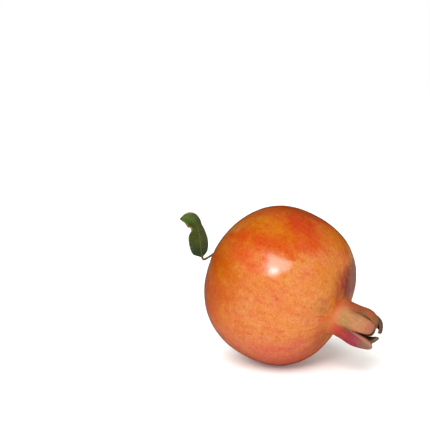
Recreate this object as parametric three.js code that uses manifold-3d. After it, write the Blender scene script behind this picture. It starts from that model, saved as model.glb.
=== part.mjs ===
// A whole pomegranate, as picked: the fruit with its crown, the dried stamens in the crown,
// the cut stub of its stem and the one leaf left on it.
//
// It lies on its side. +X is the way the crown points along the ground and +Z is up, in
// millimetres. The origin is the middle of the small flat spot that the fruit rests on.
// In the fruit's own space the axis is +Z, from the stem end to the crown.

import * as THREE from 'three';
import { mergeVertices } from 'three/addons/utils/BufferGeometryUtils.js';
import Module from 'manifold-3d';

const wasm = await Module();
wasm.setup();

const DEGREE = Math.PI / 180;
const GAP = 0.35; // between pieces that touch

// The body
const BODY_RADIUS = 42;
const BODY_HALF_LENGTH = 36.9;
const STEM_END_FULLNESS = 2.25; // 2 would be a plain ellipse
const CROWN_END_FULLNESS = 2.45;
const BODY_STEPS = 22;
const RIB_HEIGHT = 0.25; // six soft ribs that run back from the crown's lobes
const FACET_HEIGHT = 0.45; // three broad, nearly flat sides
const FACET_TURN = 0.7; // radians, how far the first of them is turned round the axis
const STEM_DIMPLE_DEPTH = 1.6;
const STEM_DIMPLE_WIDTH = 7;
const CROWN_DROOP = 20.7 * DEGREE; // the axis dips this far towards the crown
const RESTING_SPOT_DEPTH = 0.5;

// The neck and the crown. Heights are measured along the axis from the end of the body.
const SHOULDER_ANGLE = 22 * DEGREE; // off the axis, where the body starts to rise to the neck
const SHOULDER_STEPS = 5;
const SHOULDER_REACH = 4.3; // how far the skin runs on before it turns up to the neck
const NECK_RADIUS = 9.9;
const NECK_HEIGHT = 3.8;
const CUP_FLOOR = 3.6;
const CUP_WALL = 2.4;
const LOBE_TIP_WALL = 1.2;
const CUFF_HEIGHT = 11; // about where the neck's cuff parts into lobes
const FLANK_SINK = 0.35; // the share of a lobe's bulge by which its flanks sink
const LOBE_FILL = 0.95; // the share of its sector that a bent lobe may fill
const LOBE_RISE = 0.9; // below 1 its sides rise more steeply from the notches
const RIM_CROWN = 0.3; // how far the rounded rim rises, as a share of the wall
const CROWN_LEAN = 1.5; // how far the crown has swung aside at CROWN_HEIGHT
const CROWN_HEIGHT = 22;
const CROWN_LEAN_ANGLE = 160 * DEGREE;
const COLUMNS_PER_LOBE = 12;
const CROWN_STEPS = 12;
const CUP_STEPS = 11;
const CROWDING_RISE = 4; // above its bend, a lobe is pressed into its sector over this height

// One lobe between each notch and the next, anticlockwise round the axis from the lowest side.
// endNotch is the angle of the notch after the lobe, and notchHeight is how low that notch cuts.
// A lobe bends inwards from bendHeight up. The tip's distance from the axis says how far it
// curls in over the mouth. A breadth below 1 makes a lobe broad and round, and above 1 pointed.
// The bulge is how far its middle stands out from its flanks.
const FIRST_NOTCH = -4;
const LOBES = [
  {
    endNotch: 46, notchHeight: 11, bendHeight: 12,
    tipRadius: 3.8, tipHeight: 23.4, breadth: 0.9, bulge: 0.7,
  },
  {
    endNotch: 92, notchHeight: 11, bendHeight: 10,
    tipRadius: 7.4, tipHeight: 18.8, breadth: 0.75, bulge: 0.7,
  },
  {
    endNotch: 140, notchHeight: 12, bendHeight: 14.4,
    tipRadius: 0.8, tipHeight: 23.6, breadth: 1.05, bulge: 0.3,
  },
  {
    endNotch: 212, notchHeight: 16, bendHeight: 12.6,
    tipRadius: 0.4, tipHeight: 20, breadth: 0.7, bulge: 0.6,
  },
  {
    endNotch: 274, notchHeight: 9.6, bendHeight: 11.4,
    tipRadius: 4.4, tipHeight: 20.4, breadth: 0.9, bulge: 1.1,
  },
  {
    endNotch: 356, notchHeight: 10.5, bendHeight: 13,
    tipRadius: 8.1, tipHeight: 23.6, breadth: 1.1, bulge: 1.6,
  },
];

// The dried stamens
const STAMEN_COUNT = 42;
const STAMEN_RADIUS = 0.42;
const STAMEN_MAT_RADIUS = 6.6;
const STAMEN_MAT_HEIGHT = 2.6;
const STAMEN_TOP = 12.4;
const STAMEN_SPREAD = 5.2;
const STAMEN_BOW = 0.18; // how far a stamen bows out on its way up, as a share of its radius
const STAMEN_CLOSING = 0.12; // how far its tip comes back in
const STAMEN_LEAN = 1.1; // radians, the widest turn round the axis from foot to tip
const MOUTH_RADIUS = 4.6; // the room between the lobes at STAMEN_TOP
const STAMEN_CLEARANCE = 0.9;
const STAMEN_SEED = 14;
const ANTHER_RADIUS = 0.8;
const STYLE_RADIUS = 0.75;

// The stub of the stem
const STEM_RADIUS = 2.2;
const STEM_FOOT_RADIUS = 3.1;
const STEM_LENGTH = 5.2;
const STEM_SIDES = 12;
const STEM_RIBS = 0.05;
const STEM_CUT_SLOPE = 0.12; // the cut across the stub slants by this share of its radius
const TWIG_RADIUS = 0.65;
const TWIG_TIP_RADIUS = 0.3;

// The leaf. Its midrib's points are measured from the middle of the body, unturned.
// The blade's half widths on each side are evenly spaced from the stalk to the tip. It has a
// waist where it bends over, and its tip is broad and blunt.
const LEFT_HALF_WIDTHS = [0, 4.5, 5.9, 6.3, 6.2, 5.3, 3.8, 3.9, 4.9, 4.7, 0.5];
const RIGHT_HALF_WIDTHS = [0, 3, 4, 4.4, 4.3, 3.6, 3, 3.7, 4.1, 2.9, 0.4];
const LEAF_THICKNESS = 0.8;
const PETIOLE_RADIUS = 0.6;
const PETIOLE_SHARE = 0.23; // of the midrib's length
const LEAF_STEPS = 28;
const LEAF_POINTS_ACROSS = 9;
const LEAF_WAVE = 0.55;
const LEAF_WAVES = 2.6;
const LEAF_WAVE_SHIFT = 1.9; // radians, between the waves of its two edges
const LEAF_FOLD = 0.16; // how steeply each half rises from the midrib
const MIDRIB_HEIGHT = 0.35; // on the leaf's back
const MIDRIB_SPREAD = 0.2; // of the leaf's half width
const LEAF_MIDRIB = [
  [-37.7, -2.9, 14.2],
  [-41.7, -5.5, 11.1],
  [-43.7, -6.2, 10.3],
  [-44.7, -6.5, 13.5],
  [-45.2, -6.6, 18.2],
  [-45.7, -6.8, 22.6],
  [-46.3, -7.3, 26.8],
  [-47.5, -8.9, 30.4],
  [-49.3, -11.0, 32.6],
  [-51.2, -13.0, 33.3],
  [-53.2, -14.9, 33.1],
];
const LEAF_FACING = [
  [0.1, -0.5, 0.8],
  [0.45, -0.87, 0.2],
  [0.3, -0.75, 0.55],
];

const FRUIT_COLOUR = 0xd9763a;
const STAMEN_COLOUR = 0x4a3422;
const STEM_COLOUR = 0x9a7f58;
const LEAF_COLOUR = 0x55702f;

// ---- Helpers ----

const { lerp, smoothstep, clamp } = THREE.MathUtils;

/** The same numbers between 0 and 1 on every run. */
function seededDraws(seed) {
  let state = seed;
  return () => {
    state = (state + 0x6d2b79f5) | 0;
    let mixed = Math.imul(state ^ (state >>> 15), 1 | state);
    mixed = (mixed + Math.imul(mixed ^ (mixed >>> 7), 61 | mixed)) ^ mixed;
    return ((mixed ^ (mixed >>> 14)) >>> 0) / 4294967296;
  };
}

/** A point at an angle and a distance round the Z axis. */
function polar(radius, angle, height) {
  return new THREE.Vector3(radius * Math.cos(angle), radius * Math.sin(angle), height);
}

/** The same on the crown, which swings gently aside as it rises from the end of the body. */
function crownPolar(radius, angle, height) {
  const lean = polar(CROWN_LEAN * (height / CROWN_HEIGHT) ** 2, CROWN_LEAN_ANGLE, BODY_HALF_LENGTH);
  return polar(radius, angle, height).add(lean);
}

/**
 * A closed skin over rings of points, from a first point to a last one. Each ring turns
 * anticlockwise seen from the last point. turned(column) says where a quad is split the other way.
 */
function closedSkin(first, rings, last, turned = () => false) {
  const columns = rings[0].length;
  const points = [first, ...rings.flat(), last];
  const at = (ring, column) => 1 + ring * columns + (column % columns);
  const top = points.length - 1;
  const corners = [];
  for (let column = 0; column < columns; column += 1) {
    corners.push(0, at(0, column + 1), at(0, column));
    for (let ring = 0; ring + 1 < rings.length; ring += 1) {
      const a = at(ring, column);
      const b = at(ring, column + 1);
      const c = at(ring + 1, column + 1);
      const d = at(ring + 1, column);
      corners.push(...(turned(column) ? [a, b, d, b, c, d] : [a, b, c, a, c, d]));
    }
    corners.push(top, at(rings.length - 1, column), at(rings.length - 1, column + 1));
  }
  const geometry = new THREE.BufferGeometry().setFromPoints(points);
  geometry.setIndex(corners);
  return geometry;
}

/** A solid for joining and cutting. */
function solidOf(geometry) {
  const bare = geometry.clone();
  bare.deleteAttribute('normal');
  bare.deleteAttribute('uv');
  const merged = mergeVertices(bare, 1e-4);
  return new wasm.Manifold(new wasm.Mesh({
    numProp: 3,
    vertProperties: new Float32Array(merged.attributes.position.array),
    triVerts: new Uint32Array(merged.index.array),
  }));
}

function geometryOf(solid) {
  const mesh = solid.getMesh();
  const geometry = new THREE.BufferGeometry();
  geometry.setAttribute('position', new THREE.BufferAttribute(mesh.vertProperties, 3));
  geometry.setIndex(new THREE.BufferAttribute(mesh.triVerts, 1));
  return geometry;
}

/** Everything in the list grown together into one body. */
function joined(geometries) {
  const [first, ...others] = geometries.map(solidOf);
  return geometryOf(others.reduce((whole, solid) => whole.add(solid), first));
}

/** A tapering rod with round ends along a curve. */
function rod(curve, sides, steps, radiusAt) {
  const frames = curve.computeFrenetFrames(steps, false);
  const rings = [];
  for (let step = 0; step <= steps; step += 1) {
    const centre = curve.getPointAt(step / steps);
    const radius = radiusAt(step / steps);
    rings.push(Array.from({ length: sides }, (_, side) => {
      const angle = (2 * Math.PI * side) / sides;
      return centre.clone()
        .addScaledVector(frames.normals[step], radius * Math.cos(angle))
        .addScaledVector(frames.binormals[step], radius * Math.sin(angle));
    }));
  }
  const dome = 0.4;
  const start = curve.getPointAt(0).addScaledVector(frames.tangents[0], -dome * radiusAt(0));
  const end = curve.getPointAt(1).addScaledVector(frames.tangents[steps], dome * radiusAt(1));
  return closedSkin(start, rings, end);
}

// ---- The fruit: body, neck and crown in one ----

/** The body's outline: the distance from its middle, at an angle off the axis. */
function bodyReach(offAxis) {
  const crownwards = smoothstep(Math.cos(offAxis), 0, 0.5);
  const fullness = lerp(STEM_END_FULLNESS, CROWN_END_FULLNESS, crownwards);
  const along = Math.abs(Math.cos(offAxis) / BODY_HALF_LENGTH) ** fullness;
  const across = Math.abs(Math.sin(offAxis) / BODY_RADIUS) ** fullness;
  return (along + across) ** (-1 / fullness);
}

/** How far the ribs and flat sides raise the body's skin. */
function bodySwell(offAxis, angle) {
  const girth = Math.sin(offAxis) ** 2;
  return girth * (RIB_HEIGHT * Math.cos(6 * angle) + FACET_HEIGHT * Math.cos(3 * angle + FACET_TURN));
}

function bodyPoint(offAxis, angle) {
  const reach = bodyReach(offAxis) + bodySwell(offAxis, angle);
  const radius = reach * Math.sin(offAxis);
  const stemEnd = offAxis > Math.PI / 2;
  const dimple = stemEnd ? STEM_DIMPLE_DEPTH * Math.exp(-((radius / STEM_DIMPLE_WIDTH) ** 2)) : 0;
  return polar(radius, angle, reach * Math.cos(offAxis) + dimple);
}

/** A lobe's bend, as the arc from the bend's height to its tip. */
function bendOf({ bendHeight, tipRadius, tipHeight }) {
  const inwards = NECK_RADIUS - tipRadius;
  const upwards = tipHeight - bendHeight;
  const turn = 2 * Math.atan2(inwards, upwards);
  const arcRadius = upwards / Math.sin(turn);
  return { height: bendHeight, arcRadius, length: bendHeight + arcRadius * turn };
}

/** The lobe halfway between two others. */
function between(one, other) {
  return {
    bendHeight: (one.bendHeight + other.bendHeight) / 2,
    tipRadius: (one.tipRadius + other.tipRadius) / 2,
    tipHeight: (one.tipHeight + other.tipHeight) / 2,
  };
}

/**
 * The columns of points round the crown. Each has its lobe, its place across the lobe from
 * -1 to 1 at the neck and at the rim, and its length up the lobe to the rim.
 */
function crownColumns() {
  let notch = FIRST_NOTCH;
  return LOBES.flatMap((lobe, index) => {
    const previous = LOBES[(index + LOBES.length - 1) % LOBES.length];
    const halfWidth = ((lobe.endNotch - notch) / 2) * DEGREE;
    const middle = ((lobe.endNotch + notch) / 2) * DEGREE;
    const bend = bendOf(lobe);
    notch = lobe.endNotch;
    return Array.from({ length: COLUMNS_PER_LOBE }, (_, step) => {
      const across = (2 * step) / COLUMNS_PER_LOBE - 1;
      const swing = (Math.PI / 2) * (across + 1);
      const rimAcross = Math.sign(across) * Math.abs(Math.cos(swing)) ** lobe.breadth;
      const foot = lerp(previous.notchHeight, lobe.notchHeight, (across + 1) / 2);
      const rimLength = lerp(foot, bend.length, Math.sin(swing) ** LOBE_RISE);
      return {
        middle, halfWidth, across, rimAcross, rimLength, bulge: lobe.bulge,
        bend: step === 0 ? bendOf(between(lobe, previous)) : bend,
      };
    });
  });
}

/** A point on a column of the crown, a length up the lobe and an offset outwards from its skin. */
function crownPoint(column, length, offset, share) {
  const { middle, halfWidth, bend } = column;
  const across = lerp(column.across, column.rimAcross, share);
  const side = across * halfWidth;
  const bent = Math.max(0, length - bend.height) / bend.arcRadius;
  const inwards = bend.arcRadius * (1 - Math.cos(bent));
  const height = Math.min(length, bend.height) + bend.arcRadius * Math.sin(bent);
  const outwards = NECK_RADIUS * Math.cos(side) - inwards + offset * Math.cos(bent) * Math.cos(side);
  const sideways = (NECK_RADIUS + offset) * Math.sin(side);
  // Bent lobes crowd each other, so each is pressed back into its own share of the circle.
  const room = Math.max(outwards, 0.3) * Math.tan(halfWidth) * LOBE_FILL;
  const pressed = sideways / (1 + Math.abs(sideways / room) ** 6) ** (1 / 6);
  const crowding = smoothstep(length, bend.height, bend.height + CROWDING_RISE);
  const place = new THREE.Vector2(outwards, lerp(sideways, pressed, crowding));
  return crownPolar(place.length(), middle + place.angle(), height + offset * Math.sin(bent));
}

/** The bulge of a lobe's middle, which dies out down the neck. */
function bulgeAt(column, length) {
  const risen = smoothstep(length, NECK_HEIGHT, CUFF_HEIGHT + 3);
  return risen * column.bulge * (1 - Math.abs(column.across) ** 3 - FLANK_SINK);
}

function wallAt(column, length) {
  return lerp(CUP_WALL, LOBE_TIP_WALL, smoothstep(length, CUFF_HEIGHT - 3, column.bend.length));
}

function makeFruit() {
  const columns = crownColumns();
  const angles = columns.map(({ middle, halfWidth, across }) => middle + halfWidth * across);
  const rings = [];

  for (let step = 1; step <= BODY_STEPS; step += 1) {
    const offAxis = lerp(Math.PI, SHOULDER_ANGLE, step / BODY_STEPS);
    rings.push(angles.map((angle) => bodyPoint(offAxis, angle)));
  }

  // The shoulder sweeps up into the neck.
  for (let step = 1; step <= SHOULDER_STEPS; step += 1) {
    rings.push(columns.map((column, index) => {
      const edge = bodyPoint(SHOULDER_ANGLE, angles[index]);
      const before = bodyPoint(SHOULDER_ANGLE + DEGREE, angles[index]);
      const run = edge.clone().sub(before).setLength(SHOULDER_REACH);
      const neck = crownPoint(column, NECK_HEIGHT, bulgeAt(column, NECK_HEIGHT), 0);
      const foot = neck.clone().setZ(BODY_HALF_LENGTH);
      const sweep = new THREE.CubicBezierCurve3(edge, edge.clone().add(run), foot, neck);
      return sweep.getPoint(step / SHOULDER_STEPS);
    }));
  }

  for (let step = 1; step <= CROWN_STEPS; step += 1) {
    const share = step / CROWN_STEPS;
    rings.push(columns.map((column) => {
      const length = lerp(NECK_HEIGHT, column.rimLength, share);
      return crownPoint(column, length, bulgeAt(column, length), share);
    }));
  }

  // The rim is rounded between the outer skin and the cup's wall.
  rings.push(columns.map((column) => {
    const length = column.rimLength + RIM_CROWN * wallAt(column, column.rimLength);
    const offset = (bulgeAt(column, column.rimLength) - wallAt(column, column.rimLength)) / 2;
    return crownPoint(column, length, offset, 1);
  }));

  for (let step = 0; step <= CUP_STEPS; step += 1) {
    const share = 1 - step / CUP_STEPS;
    rings.push(columns.map((column) => {
      const length = lerp(CUP_FLOOR + 0.8, column.rimLength, share);
      return crownPoint(column, length, -wallAt(column, length), share);
    }));
  }
  const cupRadius = NECK_RADIUS - CUP_WALL;
  rings.push(angles.map((angle) => crownPolar(0.85 * cupRadius, angle, CUP_FLOOR + 0.1)));
  rings.push(angles.map((angle) => crownPolar(0.4 * cupRadius, angle, CUP_FLOOR)));

  const stemPole = new THREE.Vector3(0, 0, STEM_DIMPLE_DEPTH - BODY_HALF_LENGTH);
  return closedSkin(stemPole, rings, crownPolar(0, 0, CUP_FLOOR));
}

// ---- The dried stamens, grown together at the floor of the cup ----

/** The widest place a stamen may reach at a height, inside the cup and its bent lobes. */
function stamenRoom(height) {
  return lerp(STAMEN_MAT_RADIUS, MOUTH_RADIUS, smoothstep(height, CUFF_HEIGHT - 2, STAMEN_TOP));
}

function makeStamens() {
  const draw = seededDraws(STAMEN_SEED);
  const floor = CUP_FLOOR + GAP;
  const top = floor + STAMEN_MAT_HEIGHT;
  const parts = [];

  const matAngles = Array.from({ length: 18 }, (_, index) => (index * Math.PI) / 9);
  const matRing = (radius, height) => matAngles.map((angle, index) =>
    crownPolar(radius * (1 + 0.03 * Math.cos(5 * angle + index)), angle, height));
  parts.push(closedSkin(
    crownPolar(0, 0, floor),
    [
      matRing(0.6 * STAMEN_MAT_RADIUS, floor + 0.1),
      matRing(0.9 * STAMEN_MAT_RADIUS, floor + 0.6),
      matRing(0.94 * STAMEN_MAT_RADIUS, top - 0.9),
      matRing(0.75 * STAMEN_MAT_RADIUS, top - 0.2),
      matRing(0.4 * STAMEN_MAT_RADIUS, top),
    ],
    crownPolar(0, 0, top),
  ));

  for (let index = 0; index < STAMEN_COUNT; index += 1) {
    const angle = index * Math.PI * (3 - Math.sqrt(5));
    const spread = Math.sqrt((index + 0.5) / STAMEN_COUNT);
    const tipHeight = lerp(STAMEN_TOP - 4, STAMEN_TOP - 0.6, draw());
    const lean = (draw() - 0.5) * STAMEN_LEAN;
    const path = [0, 0.4, 0.75, 1].map((share) => {
      const height = lerp(top - 0.8, tipHeight, share);
      const bow = 1 + STAMEN_BOW * Math.sin(Math.PI * share) - STAMEN_CLOSING * share;
      const radius = Math.min(spread * STAMEN_SPREAD * bow, stamenRoom(height) - STAMEN_CLEARANCE);
      return crownPolar(radius, angle + lean * share, height);
    });
    const curve = new THREE.CatmullRomCurve3(path);
    parts.push(rod(curve, 3, 4, (share) => STAMEN_RADIUS * (1 - 0.25 * share)));
    const anther = new THREE.OctahedronGeometry(ANTHER_RADIUS, 0);
    anther.scale(0.8, 0.8, 1.15);
    anther.rotateX(draw() - 0.5);
    anther.rotateY(draw() - 0.5);
    anther.translate(...path[3].toArray());
    parts.push(anther);
  }

  const style = new THREE.CatmullRomCurve3([
    crownPolar(0, 0, top - 0.8),
    crownPolar(0.6, -0.5, STAMEN_TOP - 4),
    crownPolar(0.9, 0.2, STAMEN_TOP - 0.5),
  ]);
  const stigma = (share) => STYLE_RADIUS * (1 + 0.5 * smoothstep(share, 0.8, 1));
  parts.push(rod(style, 6, 6, stigma));
  return joined(parts);
}

// ---- The stub of the stem, with two dry side twigs ----

function makeStem() {
  const base = STEM_DIMPLE_DEPTH - BODY_HALF_LENGTH - GAP;
  const profile = [
    [0.55 * STEM_FOOT_RADIUS, 0.1],
    [STEM_FOOT_RADIUS, 0.55],
    [0.97 * STEM_FOOT_RADIUS, 1.1],
    [1.05 * STEM_RADIUS, 1.9],
    [0.98 * STEM_RADIUS, 3.2],
    [1.04 * STEM_RADIUS, 4.4],
    [STEM_RADIUS, STEM_LENGTH - 0.2],
    [0.85 * STEM_RADIUS, STEM_LENGTH],
    [0.35 * STEM_RADIUS, STEM_LENGTH - 0.15],
  ];
  const rings = profile.map(([radius, rise]) => Array.from({ length: STEM_SIDES }, (_, side) => {
    const angle = (-2 * Math.PI * side) / STEM_SIDES;
    const ribbed = radius * (1 + STEM_RIBS * (Math.cos(3 * angle + 0.4) + 0.6 * Math.cos(5 * angle)));
    const slope = rise > STEM_LENGTH / 2 ? STEM_CUT_SLOPE * ribbed * Math.cos(angle - 1) : 0;
    return polar(ribbed, angle, base - rise - slope);
  }));
  const stub = closedSkin(
    new THREE.Vector3(0, 0, base),
    rings,
    new THREE.Vector3(0, 0, base - STEM_LENGTH + 0.35),
  );
  const twigs = [
    { angle: 160 * DEGREE, reach: 4.6, out: 3.4 },
    { angle: 205 * DEGREE, reach: 5.0, out: 1.2 },
  ].map(({ angle, reach, out }) => {
    const curve = new THREE.CatmullRomCurve3([
      polar(0.5 * STEM_RADIUS, angle, base - 1.9),
      polar(STEM_RADIUS + 1.1, angle, base - 2.1 - 0.3 * out),
      polar(STEM_RADIUS + reach - 2, angle + 0.1, base - 2.2 - out),
    ]);
    return rod(curve, 6, 5, (share) => lerp(TWIG_RADIUS, TWIG_TIP_RADIUS, share));
  });
  return joined([stub, ...twigs]);
}

// ---- The leaf: one loft from the foot of its petiole to its tip ----

function makeLeaf() {
  const asVectors = (rows) => rows.map((row) => new THREE.Vector3(...row));
  const midrib = new THREE.CatmullRomCurve3(asVectors(LEAF_MIDRIB));
  const facing = new THREE.CatmullRomCurve3(asVectors(LEAF_FACING));
  const [left, right] = [LEFT_HALF_WIDTHS, RIGHT_HALF_WIDTHS].map(
    (widths) => new THREE.SplineCurve(widths.map((width, index) => new THREE.Vector2(index, width))),
  );
  const rings = [];
  for (let step = 0; step <= LEAF_STEPS; step += 1) {
    const share = step / LEAF_STEPS;
    const centre = midrib.getPointAt(share);
    const along = midrib.getTangentAt(share);
    const across = new THREE.Vector3().crossVectors(facing.getPoint(share), along).normalize();
    const up = new THREE.Vector3().crossVectors(along, across);
    const blade = clamp((share - PETIOLE_SHARE) / (1 - PETIOLE_SHARE), 0, 1);
    const slimmest = PETIOLE_RADIUS * (1 - 0.3 * blade);
    const leftWidth = Math.max(slimmest, left.getPoint(blade).y);
    const rightWidth = Math.max(slimmest, right.getPoint(blade).y);
    const open = smoothstep((leftWidth + rightWidth) / 2, PETIOLE_RADIUS, 2.5);
    const point = (place, face) => {
      const halfWidth = place > 0 ? leftWidth : rightWidth;
      const midriff = MIDRIB_HEIGHT * Math.exp(-((place / MIDRIB_SPREAD) ** 2)) * open;
      const round = PETIOLE_RADIUS * Math.sqrt(1.05 - place ** 2);
      const half = lerp(round, LEAF_THICKNESS / 2, open) + (face < 0 ? midriff : 0);
      const fold = LEAF_FOLD * halfWidth * Math.abs(place) * open;
      const phase = 2 * Math.PI * LEAF_WAVES * blade + (place > 0 ? 0 : LEAF_WAVE_SHIFT);
      const wave = LEAF_WAVE * Math.sin(phase) * place ** 2 * open;
      return centre.clone()
        .addScaledVector(across, halfWidth * place)
        .addScaledVector(up, fold + wave + face * half);
    };
    const places = Array.from(
      { length: LEAF_POINTS_ACROSS },
      (_, index) => 1 - (2 * index) / (LEAF_POINTS_ACROSS - 1),
    );
    const front = places.map((place) => point(place, 1));
    const back = places.map((place) => point(place, -1)).reverse();
    rings.push([...front, ...back]);
  }
  // Both faces are split along the same diagonals, so that they stay the same distance apart.
  return closedSkin(
    midrib.getPointAt(0),
    rings,
    midrib.getPointAt(1),
    (column) => column >= LEAF_POINTS_ACROSS,
  );
}

// ---- The pomegranate, set down on its resting spot ----

function named(name, geometry, color, roughness) {
  geometry.computeVertexNormals();
  const mesh = new THREE.Mesh(geometry, new THREE.MeshStandardMaterial({ color, roughness, metalness: 0 }));
  mesh.name = name;
  return mesh;
}

const lying = new THREE.Group();
lying.rotation.y = Math.PI / 2 + CROWN_DROOP;
lying.updateMatrix();

/** The fruit's points, turned as it lies, with its middle still at the origin. */
function layDown(geometry) {
  return geometry.clone().applyMatrix4(lying.matrix);
}

const fruitGeometry = makeFruit();
const laidFruit = layDown(fruitGeometry);
laidFruit.computeBoundingBox();
const ground = laidFruit.boundingBox.min.z + RESTING_SPOT_DEPTH;

// The ground takes a thin slice off the lowest side, which leaves the flat spot.
const slice = new THREE.BoxGeometry(4 * BODY_RADIUS, 4 * BODY_RADIUS, BODY_RADIUS);
slice.translate(0, 0, ground - BODY_RADIUS / 2);
slice.applyMatrix4(lying.matrix.clone().invert());
const settledFruit = geometryOf(solidOf(fruitGeometry).subtract(solidOf(slice)));

/** The middle of the flat spot, seen from above. */
function restingPoint() {
  const spot = new THREE.Box3();
  const corner = new THREE.Vector3();
  const corners = layDown(settledFruit).attributes.position;
  for (let index = 0; index < corners.count; index += 1) {
    corner.fromBufferAttribute(corners, index);
    if (corner.z < ground + 1e-3) {
      spot.expandByPoint(corner);
    }
  }
  return spot.getCenter(new THREE.Vector3());
}

lying.add(
  named('fruit', settledFruit, FRUIT_COLOUR, 0.4),
  named('stamens', makeStamens(), STAMEN_COLOUR, 0.9),
  named('stem', makeStem(), STEM_COLOUR, 0.85),
);

const pomegranate = new THREE.Group();
pomegranate.add(lying, named('leaf', makeLeaf(), LEAF_COLOUR, 0.6));
pomegranate.position.copy(restingPoint()).negate();

export default pomegranate;
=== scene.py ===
# %% [markdown]
# # A pomegranate, dressed for its portrait
#
# This lesson rebuilds a whole, freshly picked pomegranate in Blender. The part already exists as
# four plain solids: the fruit with its crown, the dried stamens inside the crown, the stub of the
# stem and one leaf. Here each solid gets a finer piece with the same form, small relief and a
# procedural material. Nothing is scaled or moved, so the pieces still fit the solids.

# %% Load the part
import math

import bpy
import numpy as np
from mathutils import Matrix, Vector, noise


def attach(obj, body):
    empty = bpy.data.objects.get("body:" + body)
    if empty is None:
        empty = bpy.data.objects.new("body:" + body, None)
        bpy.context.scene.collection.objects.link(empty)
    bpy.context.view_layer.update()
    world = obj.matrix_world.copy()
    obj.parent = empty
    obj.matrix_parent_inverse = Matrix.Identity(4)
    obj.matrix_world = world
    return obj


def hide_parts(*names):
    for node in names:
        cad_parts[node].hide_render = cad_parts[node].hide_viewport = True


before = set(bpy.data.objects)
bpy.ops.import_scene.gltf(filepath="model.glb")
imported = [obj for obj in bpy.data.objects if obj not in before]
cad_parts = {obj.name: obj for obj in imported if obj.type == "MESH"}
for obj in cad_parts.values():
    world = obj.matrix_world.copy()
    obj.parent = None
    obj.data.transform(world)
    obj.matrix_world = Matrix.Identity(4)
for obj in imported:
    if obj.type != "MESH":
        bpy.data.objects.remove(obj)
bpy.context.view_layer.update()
print("solids:", sorted(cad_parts))

# %% [markdown]
# ## Two spaces
#
# The fruit lies on its side. It is easier to shape along its own axis, from the stem end (-Z) to
# the crown (+Z), and to lay it down afterwards. So every point of the fruit is made in millimetres
# in the fruit's own space, and one helper turns it into metres on the table. The leaf is measured
# from the same middle, but without the turn.

# %% The fruit's own space
MILLIMETRE = 0.001
DEGREE = math.pi / 180
CROWN_DROOP = 20.7 * DEGREE
BODY_MIDDLE = np.array([-1.04, 0.46, 42.67])
OWN_X = np.array([-math.sin(CROWN_DROOP), 0.0, -math.cos(CROWN_DROOP)])
OWN_Y = np.array([0.0, 1.0, 0.0])
OWN_Z = np.array([math.cos(CROWN_DROOP), 0.0, -math.sin(CROWN_DROOP)])


def laid_down(points):
    """Turns points of the fruit's own space into points on the table, in millimetres."""
    x, y, z = points[..., 0:1], points[..., 1:2], points[..., 2:3]
    return BODY_MIDDLE + x * OWN_X + y * OWN_Y + z * OWN_Z


def polar(radius, angle, height):
    """Points at an angle and a distance round the axis."""
    radius, angle, height = np.broadcast_arrays(radius, angle, height)
    return np.stack([radius * np.cos(angle), radius * np.sin(angle), height], axis=-1)


def lerp(start, end, share):
    return start + (end - start) * share


def smoothstep(value, low, high):
    share = np.clip((value - low) / (high - low), 0.0, 1.0)
    return share * share * (3 - 2 * share)


print("the crown points along", laid_down(np.array([0.0, 0.0, 1.0])) - BODY_MIDDLE)

# %% [markdown]
# ## From rings of points to a mesh
#
# Each piece is a skin over rings of points. A modelling tool could loft these rings by hand, but
# a grid in code keeps the same formulas as the plain solids, so the form can't drift. Values that
# a material needs later, such as how far up a lobe a point sits, are kept on the mesh as
# attributes. An attribute travels with the mesh, whichever way it is turned.

# %% Build a mesh from rings
def skin_faces(ring_count, column_count, start):
    """Quads between neighbouring rings and triangles to a pole at each end."""
    at = start + 1 + np.arange(ring_count * column_count).reshape(ring_count, column_count)
    beside = np.roll(at, -1, axis=1)
    quads = np.stack([at[:-1], beside[:-1], beside[1:], at[1:]], axis=-1).reshape(-1, 4)
    first = np.stack([np.full(column_count, start), beside[0], at[0]], axis=-1)
    top = start + 1 + ring_count * column_count
    last = np.stack([np.full(column_count, top), at[-1], beside[-1]], axis=-1)
    return quads.tolist() + first.tolist() + last.tolist()


# The kind and field of a mesh attribute, by how many numbers it holds at a point.
ATTRIBUTE_KINDS = {
    1: ("FLOAT", "value"), 3: ("FLOAT_VECTOR", "vector"), 4: ("FLOAT_COLOR", "color")
}


class Skin:
    """Collects closed skins with their attributes, then becomes one mesh."""

    def __init__(self):
        self.points = []
        self.faces = []
        self.attributes = {}
        self.count = 0

    def add(self, first, rings, last, **attributes):
        """Adds one closed skin. An attribute is spread over all ring points if it needs to be."""
        ring_count, column_count = rings.shape[:2]
        self.points += [np.reshape(first, (1, 3)), rings.reshape(-1, 3), np.reshape(last, (1, 3))]
        self.faces += skin_faces(ring_count, column_count, self.count)
        for name, value in attributes.items():
            value = np.asarray(value, dtype=float)
            value = np.broadcast_to(value, (ring_count, column_count) + value.shape[2:])
            value = value.reshape(ring_count, column_count, -1)
            ends = value[[0, -1]].mean(axis=1)
            column = np.vstack([ends[:1], value.reshape(-1, value.shape[-1]), ends[1:]])
            self.attributes.setdefault(name, []).append(column)
        self.count += ring_count * column_count + 2

    def add_on_table(self, first, rings, last, **attributes):
        """Adds one closed skin that is given in the fruit's own space."""
        self.add(laid_down(first), laid_down(rings), laid_down(last), **attributes)

    def mesh(self, name):
        mesh = bpy.data.meshes.new(name)
        points = np.vstack(self.points) * MILLIMETRE
        mesh.from_pydata(points.tolist(), [], self.faces)
        for attribute, columns in self.attributes.items():
            values = np.vstack(columns)
            kind, field = ATTRIBUTE_KINDS[values.shape[1]]
            layer = mesh.attributes.new(attribute, kind, "POINT")
            layer.data.foreach_set(field, values.ravel().astype(np.float32))
        mesh.polygons.foreach_set("use_smooth", [True] * len(mesh.polygons))
        mesh.update()
        return mesh


print("skins can hold", sorted(ATTRIBUTE_KINDS), "numbers at a point")

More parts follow.
